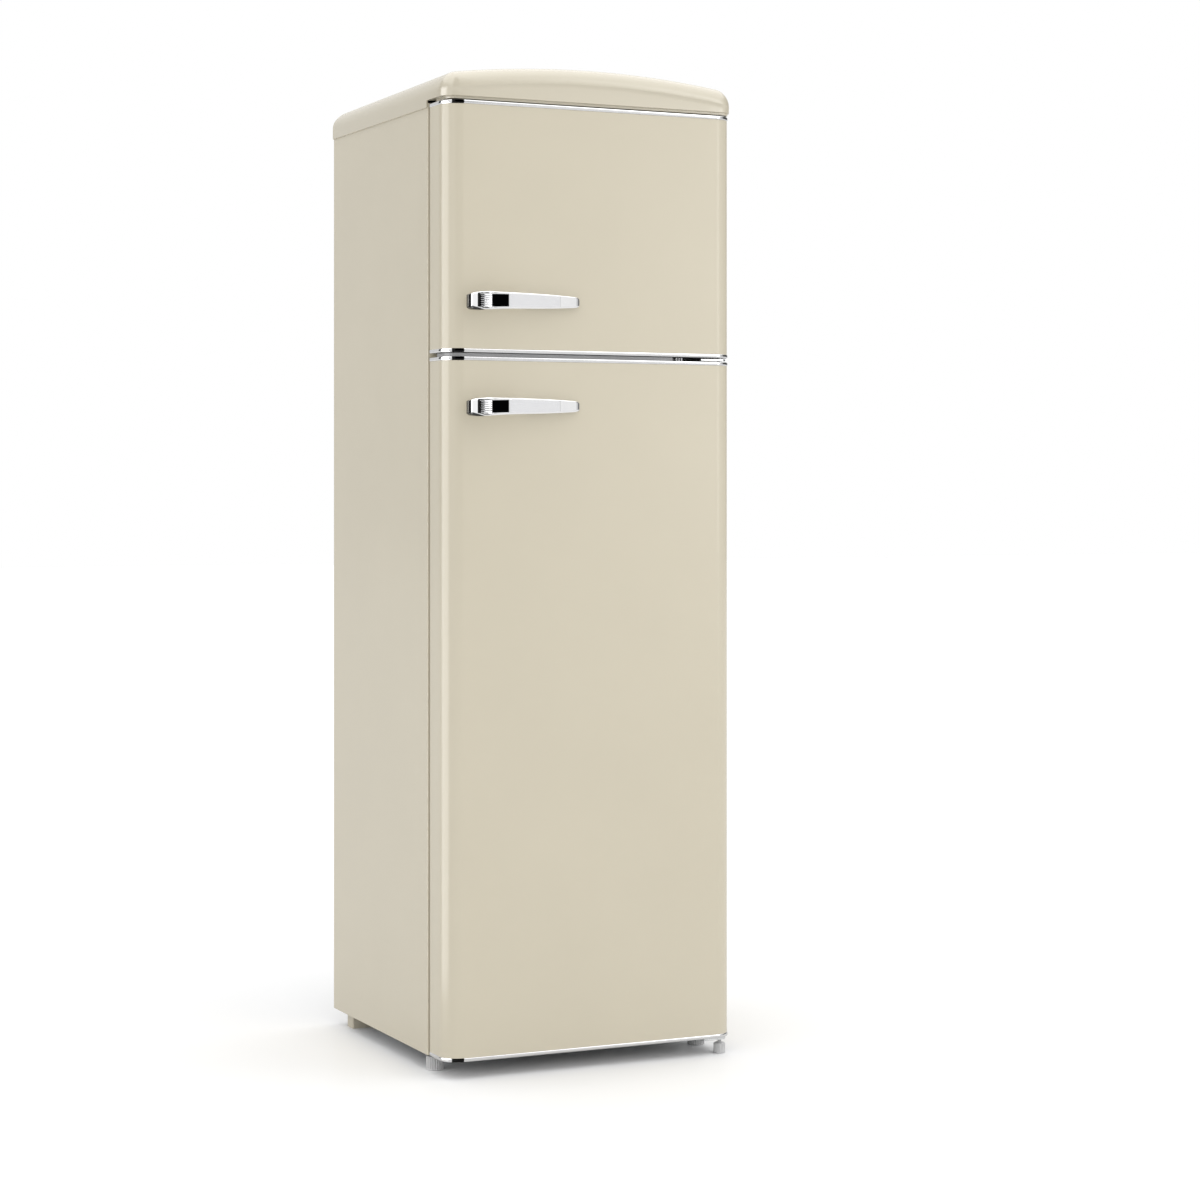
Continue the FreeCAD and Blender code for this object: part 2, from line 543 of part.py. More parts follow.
# run-in at the lower right and run-out from the top down the left edge
con.append(pipe([(-HWC, CON_Y, 330.0), (-240.0, CON_Y, 330.0), (-240.0, CON_Y, 312.0)], 2.5, 9.0))
top_z = 330.0 + PITCH * (n_rows - 1)
serp = con[0].multiFuse(con[1:]).removeSplitter()
run = pipe([(HWC, CON_Y, top_z), (252.0, CON_Y, top_z), (252.0, CON_Y, 320.0), (CX + 120.0, CON_Y, 320.0), (CX + 120.0, CON_Y, 312.0)], 2.5, 3.9)
serp = serp.fuse(run).removeSplitter()
wires = []
for k in range(15):
    x = -203.0 + 29.0 * k
    wires.append(box(x - 0.8, x + 0.8, CON_Y - 4.0, CON_Y - 2.3, 318.0, top_z + 12.0))
    wires.append(box(x - 0.8, x + 0.8, CON_Y + 2.3, CON_Y + 4.0, 318.0, top_z + 12.0))
brackets = []
for bx in (-203.0, 203.0):
    for bz in (470.0, 1310.0):
        brackets.append(box(bx - 12, bx + 12, Y_REAR_PANEL + T, Y_REAR_PANEL + 2.5, bz - 14, bz + 14))
        brackets.append(box(bx - 12, bx + 12, Y_REAR_PANEL + 2.0, CON_Y - 3.5, bz - 1.5, bz + 1.5))
put("condenser", serp.multiFuse(wires + brackets))

# ---------------------------------------------------------------- shelves and interior
glass, trims = [], []
for zt in SHELF_Z:
    glass.append(box(-224.5, 224.5, -72.0, 212.0, zt - 4.0, zt))
    f = box(-219.0, 219.0, -80.0, -66.0, zt - 9.0, zt + 3.0)
    f = f.makeFillet(2.5, edges_where(f, lambda b, e: b.YMax < -79.9 and b.XLength > 10))
    f = f.cut(box(-230, 230, -72.0, -60.0, zt - 4.0, zt))
    trims.append(f)
    r = box(-219.0, 219.0, 206.0, 217.0, zt - 8.0, zt + 10.0)
    r = r.cut(box(-230, 230, 200.0, 212.0, zt - 4.0, zt)).cut(box(-230, 230, 200.0, 214.0, zt + 2.0, zt + 20))
    trims.append(r)
put("glass_shelves", glass)
zc = CRISPER_COVER_Z
put("crisper_cover", box(-224.5, 224.5, -72.0, 212.0, zc - 4.0, zc))
f = box(-219.0, 219.0, -80.0, -66.0, zc - 9.0, zc + 3.0)
f = f.makeFillet(2.5, edges_where(f, lambda b, e: b.YMax < -79.9 and b.XLength > 10))
trims.append(f.cut(box(-230, 230, -72.0, -60.0, zc - 4.0, zc)))
put("shelf_trims", trims)

# crisper drawer
DX, DY0, DY1, DZ0, DZ1 = 214.0, -70.0, 70.0, 76.6, 284.0
dr_out = poly_yz([(DY0, DZ0), (DY1 - 6.0, DZ0), (DY1, DZ1), (DY0, DZ1)], -DX, DX)
dr_out = dr_out.makeFillet(9.0, edges_where(dr_out, lambda b, e: b.ZMax > DZ1 - 1 and b.ZMin < DZ0 + 1))
dr_in = poly_yz([(DY0 + 3.0, DZ0 + 2.5), (DY1 - 8.5, DZ0 + 2.5), (DY1 - 2.5, DZ1 + 1), (DY0 + 3.0, DZ1 + 1)], -DX + 2.5, DX - 2.5)
dr_in = dr_in.makeFillet(6.5, edges_where(dr_in, lambda b, e: b.ZMax > DZ1 and b.ZMin < DZ0 + 3 and b.ZLength > 50))
crisper = dr_out.cut(dr_in)
pull = box(-60, 60, DY0 - 9.0, DY0, DZ1 - 24.0, DZ1 - 6.0)
pull = pull.makeFillet(4.0, edges_where(pull, lambda b, e: b.YMax < DY0 - 8.9))
pull = pull.cut(box(-56, 56, DY0 - 6.5, DY0 + 1, DZ1 - 25.0, DZ1 - 9.0))
crisper = crisper.fuse(pull).removeSplitter()
put("crisper_drawer", crisper)

# freezer shelf: welded bars
ZF = 1450.0
bars = [box(-224.0, 224.0, -84.0, -79.0, ZF - 4, ZF + 1), box(-224.0, 224.0, 205.0, 210.0, ZF - 4, ZF + 1),
        box(-224.0, -219.5, -79.0, 205.0, ZF - 4, ZF + 1), box(219.5, 224.0, -79.0, 205.0, ZF - 4, ZF + 1),
        box(-219.5, 219.5, 60.0, 64.0, ZF - 4, ZF - 0.5)]
for k in range(23):
    x = -198.0 + 18.0 * k
    bars.append(box(x - 1.5, x + 1.5, -82.0, 207.0, ZF - 2.0, ZF + 1.0))
put("freezer_shelf", fuse(bars))

# control housing on the right wall of the fridge compartment
KY, KZ = -52.0, 1132.0
hx0 = 199.5
ho = box(hx0, CAV_HW, -136.0, 112.0, 1088.0, 1176.0)
ho = ho.makeFillet(6.0, edges_where(ho, lambda b, e: b.XMax < hx0 + 1e-3 and b.XLength < 1e-3))
ho = ho.makeFillet(2.0, edges_where(ho, lambda b, e: b.XLength > 5 and b.YLength < 1e-3 and b.ZLength < 1e-3 and (b.YMin < -135.9 or b.YMin > 111.9)))
ho = ho.cut(box(hx0 + 2.0, CAV_HW + 1, -134.0, 110.0, 1090.0, 1174.0))
ho = ho.cut(cylx(KY, KZ, 5.0 + RUN, hx0 - 5, hx0 + 5))
ho = ho.cut(box(hx0 - 1, hx0 + 3, 8.0, 92.0, 1102.0, 1162.0))
ho = ho.cut(cyly(206.5, 1150.0, 4.0 + RUN, -140.0, -130.0))
put("control_housing", ho)

kn = cylx(KY, KZ, 19.6, 185.5, 198.8)
kn = kn.makeFillet(2.0, [e for e in kn.Edges if e.BoundBox.XLength < 1e-3 and e.BoundBox.XMax < 186])
teeth = []
for k in range(20):
    for f, q in ((-0.26, 21.0), (0.26, 21.0), (0.40, 19.4), (0.60, 19.4)):
        a = 2 * math.pi * (k + f) / 20
        teeth.append((KY + q * math.cos(a), KZ + q * math.sin(a)))
kn = kn.fuse(poly_yz(teeth, 189.0, 198.8))
kn = kn.fuse(cylx(KY, KZ, 5.0, 198.8, 222.0))
kn = kn.cut(box(180.0, 186.3, KY - 0.9, KY + 0.9, KZ + 4.0, KZ + 19.0)).removeSplitter()
put("thermostat_knob", kn)

ln = box(189.5, hx0, 4.0, 96.0, 1098.0, 1166.0)
ln = ln.makeFillet(5.0, edges_where(ln, lambda b, e: b.XMax < 189.6 and b.XLength < 1e-3))
ln = ln.cut(box(191.5, hx0 + 1, 8.0, 92.0, 1102.0, 1162.0))
put("lamp_lens", ln)

pl = cyly(206.5, 1150.0, 4.0, -146.2, -112.0)
pl = pl.makeFillet(1.5, [e for e in pl.Edges if e.BoundBox.YLength < 1e-3 and e.BoundBox.YMax < -146])
put("door_switch_plunger", pl)


# ---------------------------------------------------------------- doors
def door_prism(off, z0, z1, y_back=None):
    yb = Y_DOOR_BACK if y_back is None else y_back
    return rrect(CAB_HW + off, Y_DOOR_FRONT - off, yb, DOOR_CORNER + off, 0, z0, z1)


RIDGE_Y = -146.5
CAP_T = 4.0


def make_door(prefix, zz, cav, pin_r_bottom, balconies):
    z0, z1 = zz
    # painted skin: one sheet wrapped round the front and both sides, with returns at the back
    sz0, sz1 = z0 + TRIM_H, z1 - TRIM_H
    skin = door_prism(0, sz0, sz1).cut(door_prism(-T, sz0 - 1, sz1 + 1, Y_DOOR_BACK - T))
    skin = skin.cut(box(-(XI - 13.0), XI - 13.0, Y_DOOR_BACK - T - 0.5, Y_DOOR_BACK + 1, sz0 - 1, sz1 + 1))
    put(prefix + "_skin", skin)
    # chrome trims round the front and sides at both ends
    tr = []
    for a, b in ((z0, sz0), (sz1, z1)):
        t = door_prism(TRIM_PROUD, a, b, Y_DOOR_BACK - 2.0)
        t = t.makeFillet(0.9, edges_where(t, lambda bb, e: bb.ZLength < 1e-3 and not (abs(bb.YMin - (Y_DOOR_BACK - 2.0)) < 1e-3 and bb.YLength < 1e-3)))
        t = t.cut(door_prism(-TRIM_IN, a - 1, b + 1))
        tr.append(t)
    put(prefix + "_trims", tr)
    # end caps with a boss for the hinge bushing
    caps, bosses, bushes = [], [], []
    for end in (0, 1):
        if end == 0:
            ca, cb = z0 + 0.3, z0 + 0.3 + CAP_T
            ba, bb_ = z0 + 0.3, z0 + 15.0
            pr = pin_r_bottom
            bush_z = (z0, z0 + 14.0)
        else:
            ca, cb = z1 - 0.3 - CAP_T, z1 - 0.3
            ba, bb_ = z1 - 15.0, z1 - 0.3
            pr = PIN_R
            bush_z = (z1 - 14.0, z1)
        plate = door_prism(-TRIM_IN, ca, cb)
        boss = cylz(HX, HY, pr + 5.0, ba, bb_)
        cap = plate.fuse(boss).cut(cylz(HX, HY, pr + 3.0, ba - 5, bb_ + 5))
        caps.append(cap.removeSplitter())
        bosses.append(cylz(HX, HY, pr + 5.0, ba, bb_))
        bushes.append(cut(cylz(HX, HY, pr + 3.0, *bush_z), cylz(HX, HY, pr + RUN, bush_z[0] - 1, bush_z[1] + 1)))
    put(prefix + "_end_caps", caps)
    put(prefix + "_bushings", bushes)
    # inner liner: flat panel with a raised ridge that plugs into the compartment
    li = 1.2
    rz0, rz1 = cav[0] + 12.0, cav[1] - 12.0
    rh = 215.0
    rw = 22.0

    def ring(o, y1, y0):
        out = box(-rh + o, rh - o, y0, y1, rz0 + o, rz1 - o)
        rr = 16.0 - o
        out = out.makeFillet(rr, edges_where(out, lambda b, e: b.XLength < 1e-3 and b.ZLength < 1e-3))
        inn = box(-rh + rw - o, rh - rw + o, y0 - 1, y1 + 1, rz0 + rw - o, rz1 - rw + o)
        ir = 10.0 + o
        inn = inn.makeFillet(ir, edges_where(inn, lambda b, e: b.XLength < 1e-3 and b.ZLength < 1e-3))
        g = out.cut(inn)
        fr = 6.0 - o
        g = g.makeFillet(fr, edges_where(g, lambda b, e: b.YLength < 1e-3 and abs(b.YMin - y1) < 1e-3))
        return g
    ridge = ring(0.0, RIDGE_Y, Y_DOOR_BACK - li)
    ridge_in = ring(li, RIDGE_Y - li, Y_DOOR_BACK - li - 1.0)
    panel = box(-(XI - 13.0), XI - 13.0, Y_DOOR_BACK - li, Y_DOOR_BACK, z0 + 0.3 + CAP_T, z1 - 0.3 - CAP_T)
    bumps = []
    for bz, bh in balconies:
        for s in (-1, 1):
            bx0, bx1 = (rh - rw - 9.0, rh - rw + 0.6)
            bb = box(bx0, bx1, -181.0, -160.0, bz - 12.0, bz)
            if s < 0:
                bb = bb.mirror(V(0, 0, 0), V(1, 0, 0))
            bumps.append(bb)
    lin = fuse([panel, ridge] + bumps).cut(ridge_in)
    lin = lin.removeSplitter()
    put(prefix + "_liner", max(lin.Solids, key=lambda s: s.Volume))
    # foam core
    fm = door_prism(-T, z0 + 0.3 + CAP_T, z1 - 0.3 - CAP_T, Y_DOOR_BACK - li)
    fm = fm.fuse(ridge_in.common(box(-400, 400, Y_DOOR_BACK - li, 0, 0, 2000))).removeSplitter()
    fm = fm.cut(bosses[0]).cut(bosses[1])
    fm = fm.cut(skin)
    put(prefix + "_foam", max(fm.Solids, key=lambda s: s.Volume))
    # magnetic gasket, a bellows ring
    gz0, gz1 = z0 + 12.0, z1 - 12.0
    gy0, gy1 = Y_DOOR_BACK, Y_FRONT - 0.5
    g = box(-262.0, 262.0, gy0, gy1, gz0, gz1)
    g = g.makeFillet(8.0, edges_where(g, lambda b, e: b.XLength < 1e-3 and b.ZLength < 1e-3))
    gi = box(-246.0, 246.0, gy0 - 1, gy1 + 1, gz0 + 16.0, gz1 - 16.0)
    gi = gi.makeFillet(3.0, edges_where(gi, lambda b, e: b.XLength < 1e-3 and b.ZLength < 1e-3))
    g = g.cut(gi)
    g2 = box(-270.0, 270.0, gy0 + 3.5, gy0 + 6.0, gz0 - 5, gz1 + 5).cut(
        box(-259.5, 259.5, gy0, gy1, gz0 + 2.5, gz1 - 2.5))
    g = g.cut(g2)
    put(prefix + "_gasket", g)


# trough-shaped balconies on the doors
BAL_HW, BAL_Y0, BAL_Y1 = 192.5, -180.0, -95.0


def balcony(zb, h, tall_front):
    o = poly_yz([(BAL_Y0, zb), (BAL_Y1 - 6.0, zb), (BAL_Y1, zb + h), (BAL_Y0, zb + h)], -BAL_HW, BAL_HW)
    o = o.makeFillet(8.0, edges_where(o, lambda b, e: b.YMin > BAL_Y1 - 8 and b.ZLength > 10))
    i = poly_yz([(BAL_Y0 + 2.5, zb + 2.5), (BAL_Y1 - 8.5, zb + 2.5), (BAL_Y1 - 2.5, zb + h + 1), (BAL_Y0 + 2.5, zb + h + 1)],
                -BAL_HW + 2.5, BAL_HW - 2.5)
    i = i.makeFillet(5.5, edges_where(i, lambda b, e: b.YMin > BAL_Y1 - 10 and b.ZLength > 10))
    s = o.cut(i)
    # lower back wall, so things can be lifted in
    s = s.cut(box(-150, 150, BAL_Y0 - 1, BAL_Y0 + 3.5, zb + h * 0.55, zb + h + 2))
    return s.removeSplitter()


FZ_BAL = [(1322.0, 62.0), (1462.0, 62.0)]
FR_BAL = [(690.0, 62.0), (960.0, 62.0)]
BOTTLE = (330.0, 84.0)
make_door("freezer_door", FREEZER_DOOR, FREEZER_CAV, PIN_R, FZ_BAL)
make_door("fridge_door", FRIDGE_DOOR, FRIDGE_CAV, PIN_R_LOW, FR_BAL + [BOTTLE])
put("freezer_door_balconies", [balcony(z, h, False) for z, h in FZ_BAL])
put("fridge_door_balconies", [balcony(z, h, False) for z, h in FR_BAL])
put("bottle_balcony", balcony(BOTTLE[0], BOTTLE[1], True))


# ---------------------------------------------------------------- handles
def handle(zc):
    yd = Y_DOOR_FRONT
    yo = yd - HANDLE_OUT
    # side profile in X-Y: blade that rises from the door at its right tip to the head at the left
    pts_out = [(-27.0, yd), (-27.0, yd - 5.0), (-34.0, yd - 10.5), (-100.0, yd - 22.5), (-160.0, yd - 33.0), (-202.0, yd - 40.5),
               (-210.0, yo + 0.8), (-217.0, yo), (-226.0, yo), (-233.0, yo + 0.6), (-239.5, yo + 2.2), (-242.4, yo + 3.6),
               (-244.2, yo + 5.6), (-245.6, yo + 15.0), (-246.6, yo + 22.5), (-245.6, yo + 25.8), (-242.0, yo + 26.6)]
    pts_in = [(-236.0, yo + 22.0), (-228.0, yo + 15.5), (-214.0, yo + 13.5), (-196.0, yo + 15.0), (-170.0, yo + 19.5),
              (-150.0, yo + 24.0), (-138.0, yo + 29.0), (-130.0, yo + 36.0), (-126.0, yd)]
    prof = poly_xy(pts_out + pts_in, zc - 30, zc + 30)
    # front outline in X-Z
    up = [(-247.5, 9.5), (-244.5, 11.0), (-239.0, 13.0), (-232.0, 14.7), (-225.0, 15.5), (-190.0, 15.4), (-160.0, 15.0), (-130.0, 14.5),
          (-90.0, 13.5), (-60.0, 12.2), (-45.0, 11.3), (-38.0, 10.7), (-33.0, 9.6), (-29.6, 7.4), (-27.8, 4.4), (-27.0, 0.0)]
    outline = [(x, zc + h) for x, h in up] + [(x, zc - h) for x, h in reversed(up[:-1])]
    face = poly_xz(outline, yd - 60, yd + 1)
    s = prof.common(face)
    # recess for the black insert, cut square to the door
    return s.removeSplitter()


def insert_for(zc):
    """Slab that the gloss black plate is cut from: it follows the front of the head."""
    yd = Y_DOOR_FRONT
    back = [(-174.5, 32.0), (-196.0, 36.0), (-204.0, 38.0), (-210.0, 40.6), (-217.0, 41.4), (-226.0, 41.4), (-232.6, 40.8)]
    return poly_xy([(-232.6, yd - 60), (-174.5, yd - 60)] + [(x, yd - d) for x, d in back], zc - 10.7, zc + 10.7)


for nm, zc in (("fridge_handle", HANDLE_Z[0]), ("freezer_handle", HANDLE_Z[1])):
    body = handle(zc)
    tool = insert_for(zc)
    ins = body.common(tool)
    # the insert lies 0.6 below the rim
    shallow = ins.copy()
    shallow.translate(V(0, 0.6, 0))
    ins = ins.common(shallow)
    put(nm, max(body.cut(tool).Solids, key=lambda s: s.Volume))
    put(nm + "_insert", ins)

put("screws", SCREWS)

# ---------------------------------------------------------------- write
total = None
for name in sorted(NODES):
    solids = NODES[name]
    shape = solids[0] if len(solids) == 1 else Part.makeCompound(solids)
    bad = [i for i, s in enumerate(solids) if not s.isValid() or s.Volume <= 0]
    if bad or not solids:
        print("BAD", name, bad, len(solids))
    shape.exportStep("parts/" + name + ".step")
    bb = shape.BoundBox
    total = FreeCAD.BoundBox(bb) if total is None else total
    total.add(bb)
print(len(NODES), "nodes; box", [round(v, 2) for v in (total.XMin, total.YMin, total.ZMin, total.XMax, total.YMax, total.ZMax)])
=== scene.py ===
import json
import math

import bmesh
import bpy
import numpy as np
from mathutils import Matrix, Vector


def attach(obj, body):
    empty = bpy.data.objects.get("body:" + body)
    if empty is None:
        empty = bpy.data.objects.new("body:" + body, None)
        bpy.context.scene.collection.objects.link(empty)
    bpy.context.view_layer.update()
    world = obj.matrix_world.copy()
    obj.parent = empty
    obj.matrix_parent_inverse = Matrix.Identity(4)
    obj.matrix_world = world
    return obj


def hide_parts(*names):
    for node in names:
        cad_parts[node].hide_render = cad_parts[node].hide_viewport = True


# Retro fridge-freezer. Lengths in the builders below are millimetres in the row frame
# (+Z up, floor at 0, doors face -Y); they become metres when a mesh is made.

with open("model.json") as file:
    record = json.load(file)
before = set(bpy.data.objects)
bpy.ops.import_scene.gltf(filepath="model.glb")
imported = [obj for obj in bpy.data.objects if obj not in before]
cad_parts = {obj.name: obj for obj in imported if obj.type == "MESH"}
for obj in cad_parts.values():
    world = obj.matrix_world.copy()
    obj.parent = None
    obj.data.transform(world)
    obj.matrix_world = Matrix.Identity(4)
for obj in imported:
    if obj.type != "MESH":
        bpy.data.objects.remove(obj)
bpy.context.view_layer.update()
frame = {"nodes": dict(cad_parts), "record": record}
NODES = frame["nodes"]
MM = 0.001

# ------------------------------------------------------------------ dimensions of the CAD frame
CAB_HW, COVER_HW = 275.5, 278.0
Y_FRONT, Y_REAR, Y_COVER_REAR = -176.5, 306.0, 307.5
Z_BASE, Z_TOP, Z_CROWN = 29.0, 1675.0, 1740.0
Z_SKIRT, Z_COVER_FRONT, COVER_R = 1667.0, 1679.0, 1865.0
COVER_FALL = 5.0
SHEET = 0.8
Y_BACK, Y_DOOR = -186.5, -262.5
CORNER = 32.0
DOORS = {"fridge": (30.6, 1233.9), "freezer": (1241.2, 1671.9)}
CAVITY = {"fridge": (76.0, 1204.0), "freezer": (1275.0, 1629.0)}
TRIM_H, PROUD, TRIM_IN = 6.5, 1.25, 0.8
HX, HY = 258.0, -242.5
LIP = 235.5
XI = CAB_HW - SHEET


# ------------------------------------------------------------------ mesh helpers
class Shape:
    """Vertices in millimetres and faces, gathered from closed solids."""

    def __init__(self):
        self.v, self.f = [], []

    def add(self, solid):
        v, f = solid
        k = len(self.v)
        self.v.extend([tuple(float(c) for c in p) for p in v])
        self.f.extend([tuple(i + k for i in q) for q in f])
        return self


def arc(cx, cy, r, a0, a1, n):
    """Points on an arc, angles in degrees, both ends included."""
    return [
        (
            cx + r * math.cos(math.radians(a0 + (a1 - a0) * i / n)),
            cy + r * math.sin(math.radians(a0 + (a1 - a0) * i / n)),
        )
        for i in range(n + 1)
    ]


def rrect(x0, x1, y0, y1, r, n=6):
    """Counter-clockwise rounded rectangle. r is one radius, or four from the lowest corner on: (x0,y0) (x1,y0) (x1,y1) (x0,y1)."""
    a, b, c, d = (r, r, r, r) if not isinstance(r, (tuple, list)) else r
    return (
        arc(x0 + a, y0 + a, a, 180, 270, n)
        + arc(x1 - b, y0 + b, b, 270, 360, n)
        + arc(x1 - c, y1 - c, c, 0, 90, n)
        + arc(x0 + d, y1 - d, d, 90, 180, n)
    )


def offset(pts, d):
    """A closed counter-clockwise outline moved inward by d."""
    p = np.array(pts, float)
    a, b = np.roll(p, 1, 0), np.roll(p, -1, 0)

    def unit(v):
        return v / np.maximum(np.linalg.norm(v, axis=1, keepdims=True), 1e-9)

    e0, e1 = unit(p - a), unit(b - p)
    n0 = np.stack([-e0[:, 1], e0[:, 0]], 1)
    n1 = np.stack([-e1[:, 1], e1[:, 0]], 1)
    m = unit(n0 + n1)
    k = np.clip(1 / np.maximum((m * n0).sum(1), 0.3), 1, 3)[:, None]
    return [tuple(q) for q in p + m * k * d]


def put3(pts, w, axis):
    if axis == "z":
        return [(u, v, w) for u, v in pts]
    if axis == "y":
        return [(u, w, v) for u, v in pts]
    return [(w, u, v) for u, v in pts]


def loft(rings, caps=(True, True), closed=False):
    """Quads between rings of equal length; caps are n-gons. closed joins the last ring to the first."""
    n = len(rings[0])
    v = [p for r in rings for p in r]
    f = []
    m = len(rings)
    for i in range(m if closed else m - 1):
        a, b = i * n, ((i + 1) % m) * n
        for j in range(n):
            k = (j + 1) % n
            f.append((a + j, a + k, b + k, b + j))
    if not closed:
        if caps[0]:
            f.append(tuple(reversed(range(n))))
        if caps[1]:
            f.append(tuple(range((m - 1) * n, m * n)))
    return v, f


def prism(outline, w0, w1, e=0.0, axis="z", n=3, e0=None, e1=None):
    """An outline pushed along an axis, with its two end edges rounded by e."""
    e0 = e if e0 is None else e0
    e1 = e if e1 is None else e1
    rings = []
    if e0 > 0:
        for i in range(n + 1):
            t = math.radians(90 * i / n)
            rings.append(
                put3(offset(outline, e0 * (1 - math.sin(t))), w0 + e0 * (1 - math.cos(t)), axis)
            )
    else:
        rings.append(put3(outline, w0, axis))
    if e1 > 0:
        for i in range(n + 1):
            t = math.radians(90 * i / n)
            rings.append(
                put3(offset(outline, e1 * (1 - math.cos(t))), w1 - e1 * (1 - math.sin(t)), axis)
            )
    else:
        rings.append(put3(outline, w1, axis))
    return loft(rings)


def rbox(x0, x1, y0, y1, z0, z1, r=1.0, n=3):
    r = min(r, (x1 - x0) / 2.02, (y1 - y0) / 2.02, (z1 - z0) / 2.02)
    return prism(rrect(x0, x1, y0, y1, r, n), z0, z1, r, "z", n)


def lathe(profile, n, centre, axis="z", radius=None):
    """profile is (r, t) from one end to the other along the axis. radius(r, t, a) may change r round the axis."""
    cx, cy, cz = centre
    rings = []
    for r, t in profile:
        ring = []
        for i in range(n):
            a = 2 * math.pi * i / n
            q = max(r, 1e-4) if radius is None else max(radius(r, t, a), 1e-4)
            c, s = q * math.cos(a), q * math.sin(a)
            if axis == "z":
                ring.append((cx + c, cy + s, cz + t))
            elif axis == "y":
                ring.append((cx + c, cy + t, cz + s))
            else:
                ring.append((cx + t, cy + c, cz + s))
        rings.append(ring)
    return loft(rings)


def bend(points, r, n=7):
    """A polyline with its corners turned into arcs of radius r."""
    p = [Vector(q) for q in points]
    out = [p[0]]
    for i in range(1, len(p) - 1):
        a, b, c = p[i - 1], p[i], p[i + 1]
        u, w = (a - b).normalized(), (c - b).normalized()
        ang = u.angle(w)
        if ang > math.radians(178):
            out.append(b)
            continue
        d = min(r / math.tan(ang / 2), (a - b).length * 0.5, (c - b).length * 0.5)
        rr = d * math.tan(ang / 2)
        centre = b + (u + w).normalized() * (rr / math.sin(ang / 2))
        p0, p1 = b + u * d - centre, b + w * d - centre
        sweep = p0.angle(p1)
        for k in range(n + 1):
            t = k / n
            s0 = math.sin((1 - t) * sweep) / math.sin(sweep)
            s1 = math.sin(t * sweep) / math.sin(sweep)
            out.append(centre + p0 * s0 + p1 * s1)
    out.append(p[-1])
    return out


def tube(path, r, n=12, closed=False, taper=None):
    """A round tube along a path, with round-shouldered ends."""
    p = [Vector(q) for q in path]
    q = [p[0]]
    for a in p[1:]:
        if (a - q[-1]).length > 1e-4:
            q.append(a)
    p = q
    m = len(p)
    if closed and (p[0] - p[-1]).length < 1e-4:
        p.pop()
        m -= 1
    tang = []
    for i in range(m):
        a = p[(i - 1) % m] if closed or i > 0 else p[i]
        b = p[(i + 1) % m] if closed or i < m - 1 else p[i]
        tang.append((b - a).normalized())
    up = Vector((0, 0, 1)) if abs(tang[0].z) < 0.9 else Vector((1, 0, 0))
    u = tang[0].cross(up).normalized()
    rings = []
    for i in range(m):
        if i:
            u = (u - tang[i] * u.dot(tang[i])).normalized()
        w = tang[i].cross(u)
        rr = r if taper is None else r * taper(i / (m - 1))
        rings.append(
            [
                tuple(p[i] + (u * math.cos(2 * math.pi * k / n) + w * math.sin(2 * math.pi * k / n)) * rr)
                for k in range(n)
            ]
        )
    if closed:
        return loft(rings, closed=True)

    def end(i, sgn):
        c, t = p[i], tang[i] * sgn
        ring = [Vector(x) - c for x in rings[i]]
        return [[tuple(c + x * s + t * r * h) for x in ring] for s, h in ((0.86, 0.3), (0.5, 0.5))]

    first, last = end(0, -1), end(m - 1, 1)
    return loft([first[1], first[0]] + rings + [last[0], last[1]])


def sheet(path, t, z0, z1, e=0.0):
    """A bent sheet: an open path in X-Y is its outer face, t its thickness towards the path's left side, pushed along Z."""
    p = np.array(path, float)
    d = np.diff(p, axis=0)
    d /= np.linalg.norm(d, axis=1, keepdims=True)
    nrm = np.stack([-d[:, 1], d[:, 0]], 1)
    m = np.vstack([nrm[:1], nrm[:-1] + nrm[1:], nrm[-1:]])
    m /= np.linalg.norm(m, axis=1, keepdims=True)
    k = np.ones(len(p))
    k[1:-1] = 1 / np.maximum((m[1:-1] * nrm[1:]).sum(1), 0.4)
    inner = p + m * k[:, None] * t
    ring = [tuple(q) for q in p] + [tuple(q) for q in inner[::-1]]
    return prism(ring, z0, z1, e, "z", 2)


def mirror(solid):
    v, f = solid
    return [(-x, y, z) for x, y, z in v], [tuple(reversed(q)) for q in f]


def piece(name, shape, body, mat, replaces=(), smooth=32.0, bevel=None, weighted=True):
    """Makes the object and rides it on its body. shape is a Shape or one solid."""
    if not isinstance(shape, Shape):
        shape = Shape().add(shape)
    me = bpy.data.meshes.new(name)
    me.from_pydata([(x * MM, y * MM, z * MM) for x, y, z in shape.v], [], shape.f)
    me.validate()
    bm = bmesh.new()
    bm.from_mesh(me)
    bmesh.ops.remove_doubles(bm, verts=bm.verts, dist=2e-6)
    bmesh.ops.dissolve_degenerate(bm, dist=1e-6, edges=bm.edges)
    bmesh.ops.recalc_face_normals(bm, faces=bm.faces)
    bm.to_mesh(me)
    bm.free()
    for p in me.polygons:
        p.use_smooth = True
    me.set_sharp_from_angle(angle=math.radians(smooth))
    o = bpy.data.objects.new(name, me)
    bpy.context.scene.collection.objects.link(o)
    me.materials.append(mat)
    if bevel:
        b = o.modifiers.new("edges", "BEVEL")
        b.width, b.segments, b.limit_method, b.angle_limit = bevel * MM, 2, "ANGLE", math.radians(34)
    if weighted:
        w = o.modifiers.new("normals", "WEIGHTED_NORMAL")
        w.keep_sharp = True
        w.weight = 60
    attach(o, body)
    if replaces:
        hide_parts(*replaces)
    return o


# ------------------------------------------------------------------ materials
def lin(c):
    """sRGB 0-255 to linear."""
    out = []
    for x in c:
        x /= 255.0
        out.append(x / 12.92 if x <= 0.04045 else ((x + 0.055) / 1.055) ** 2.4)
    return out


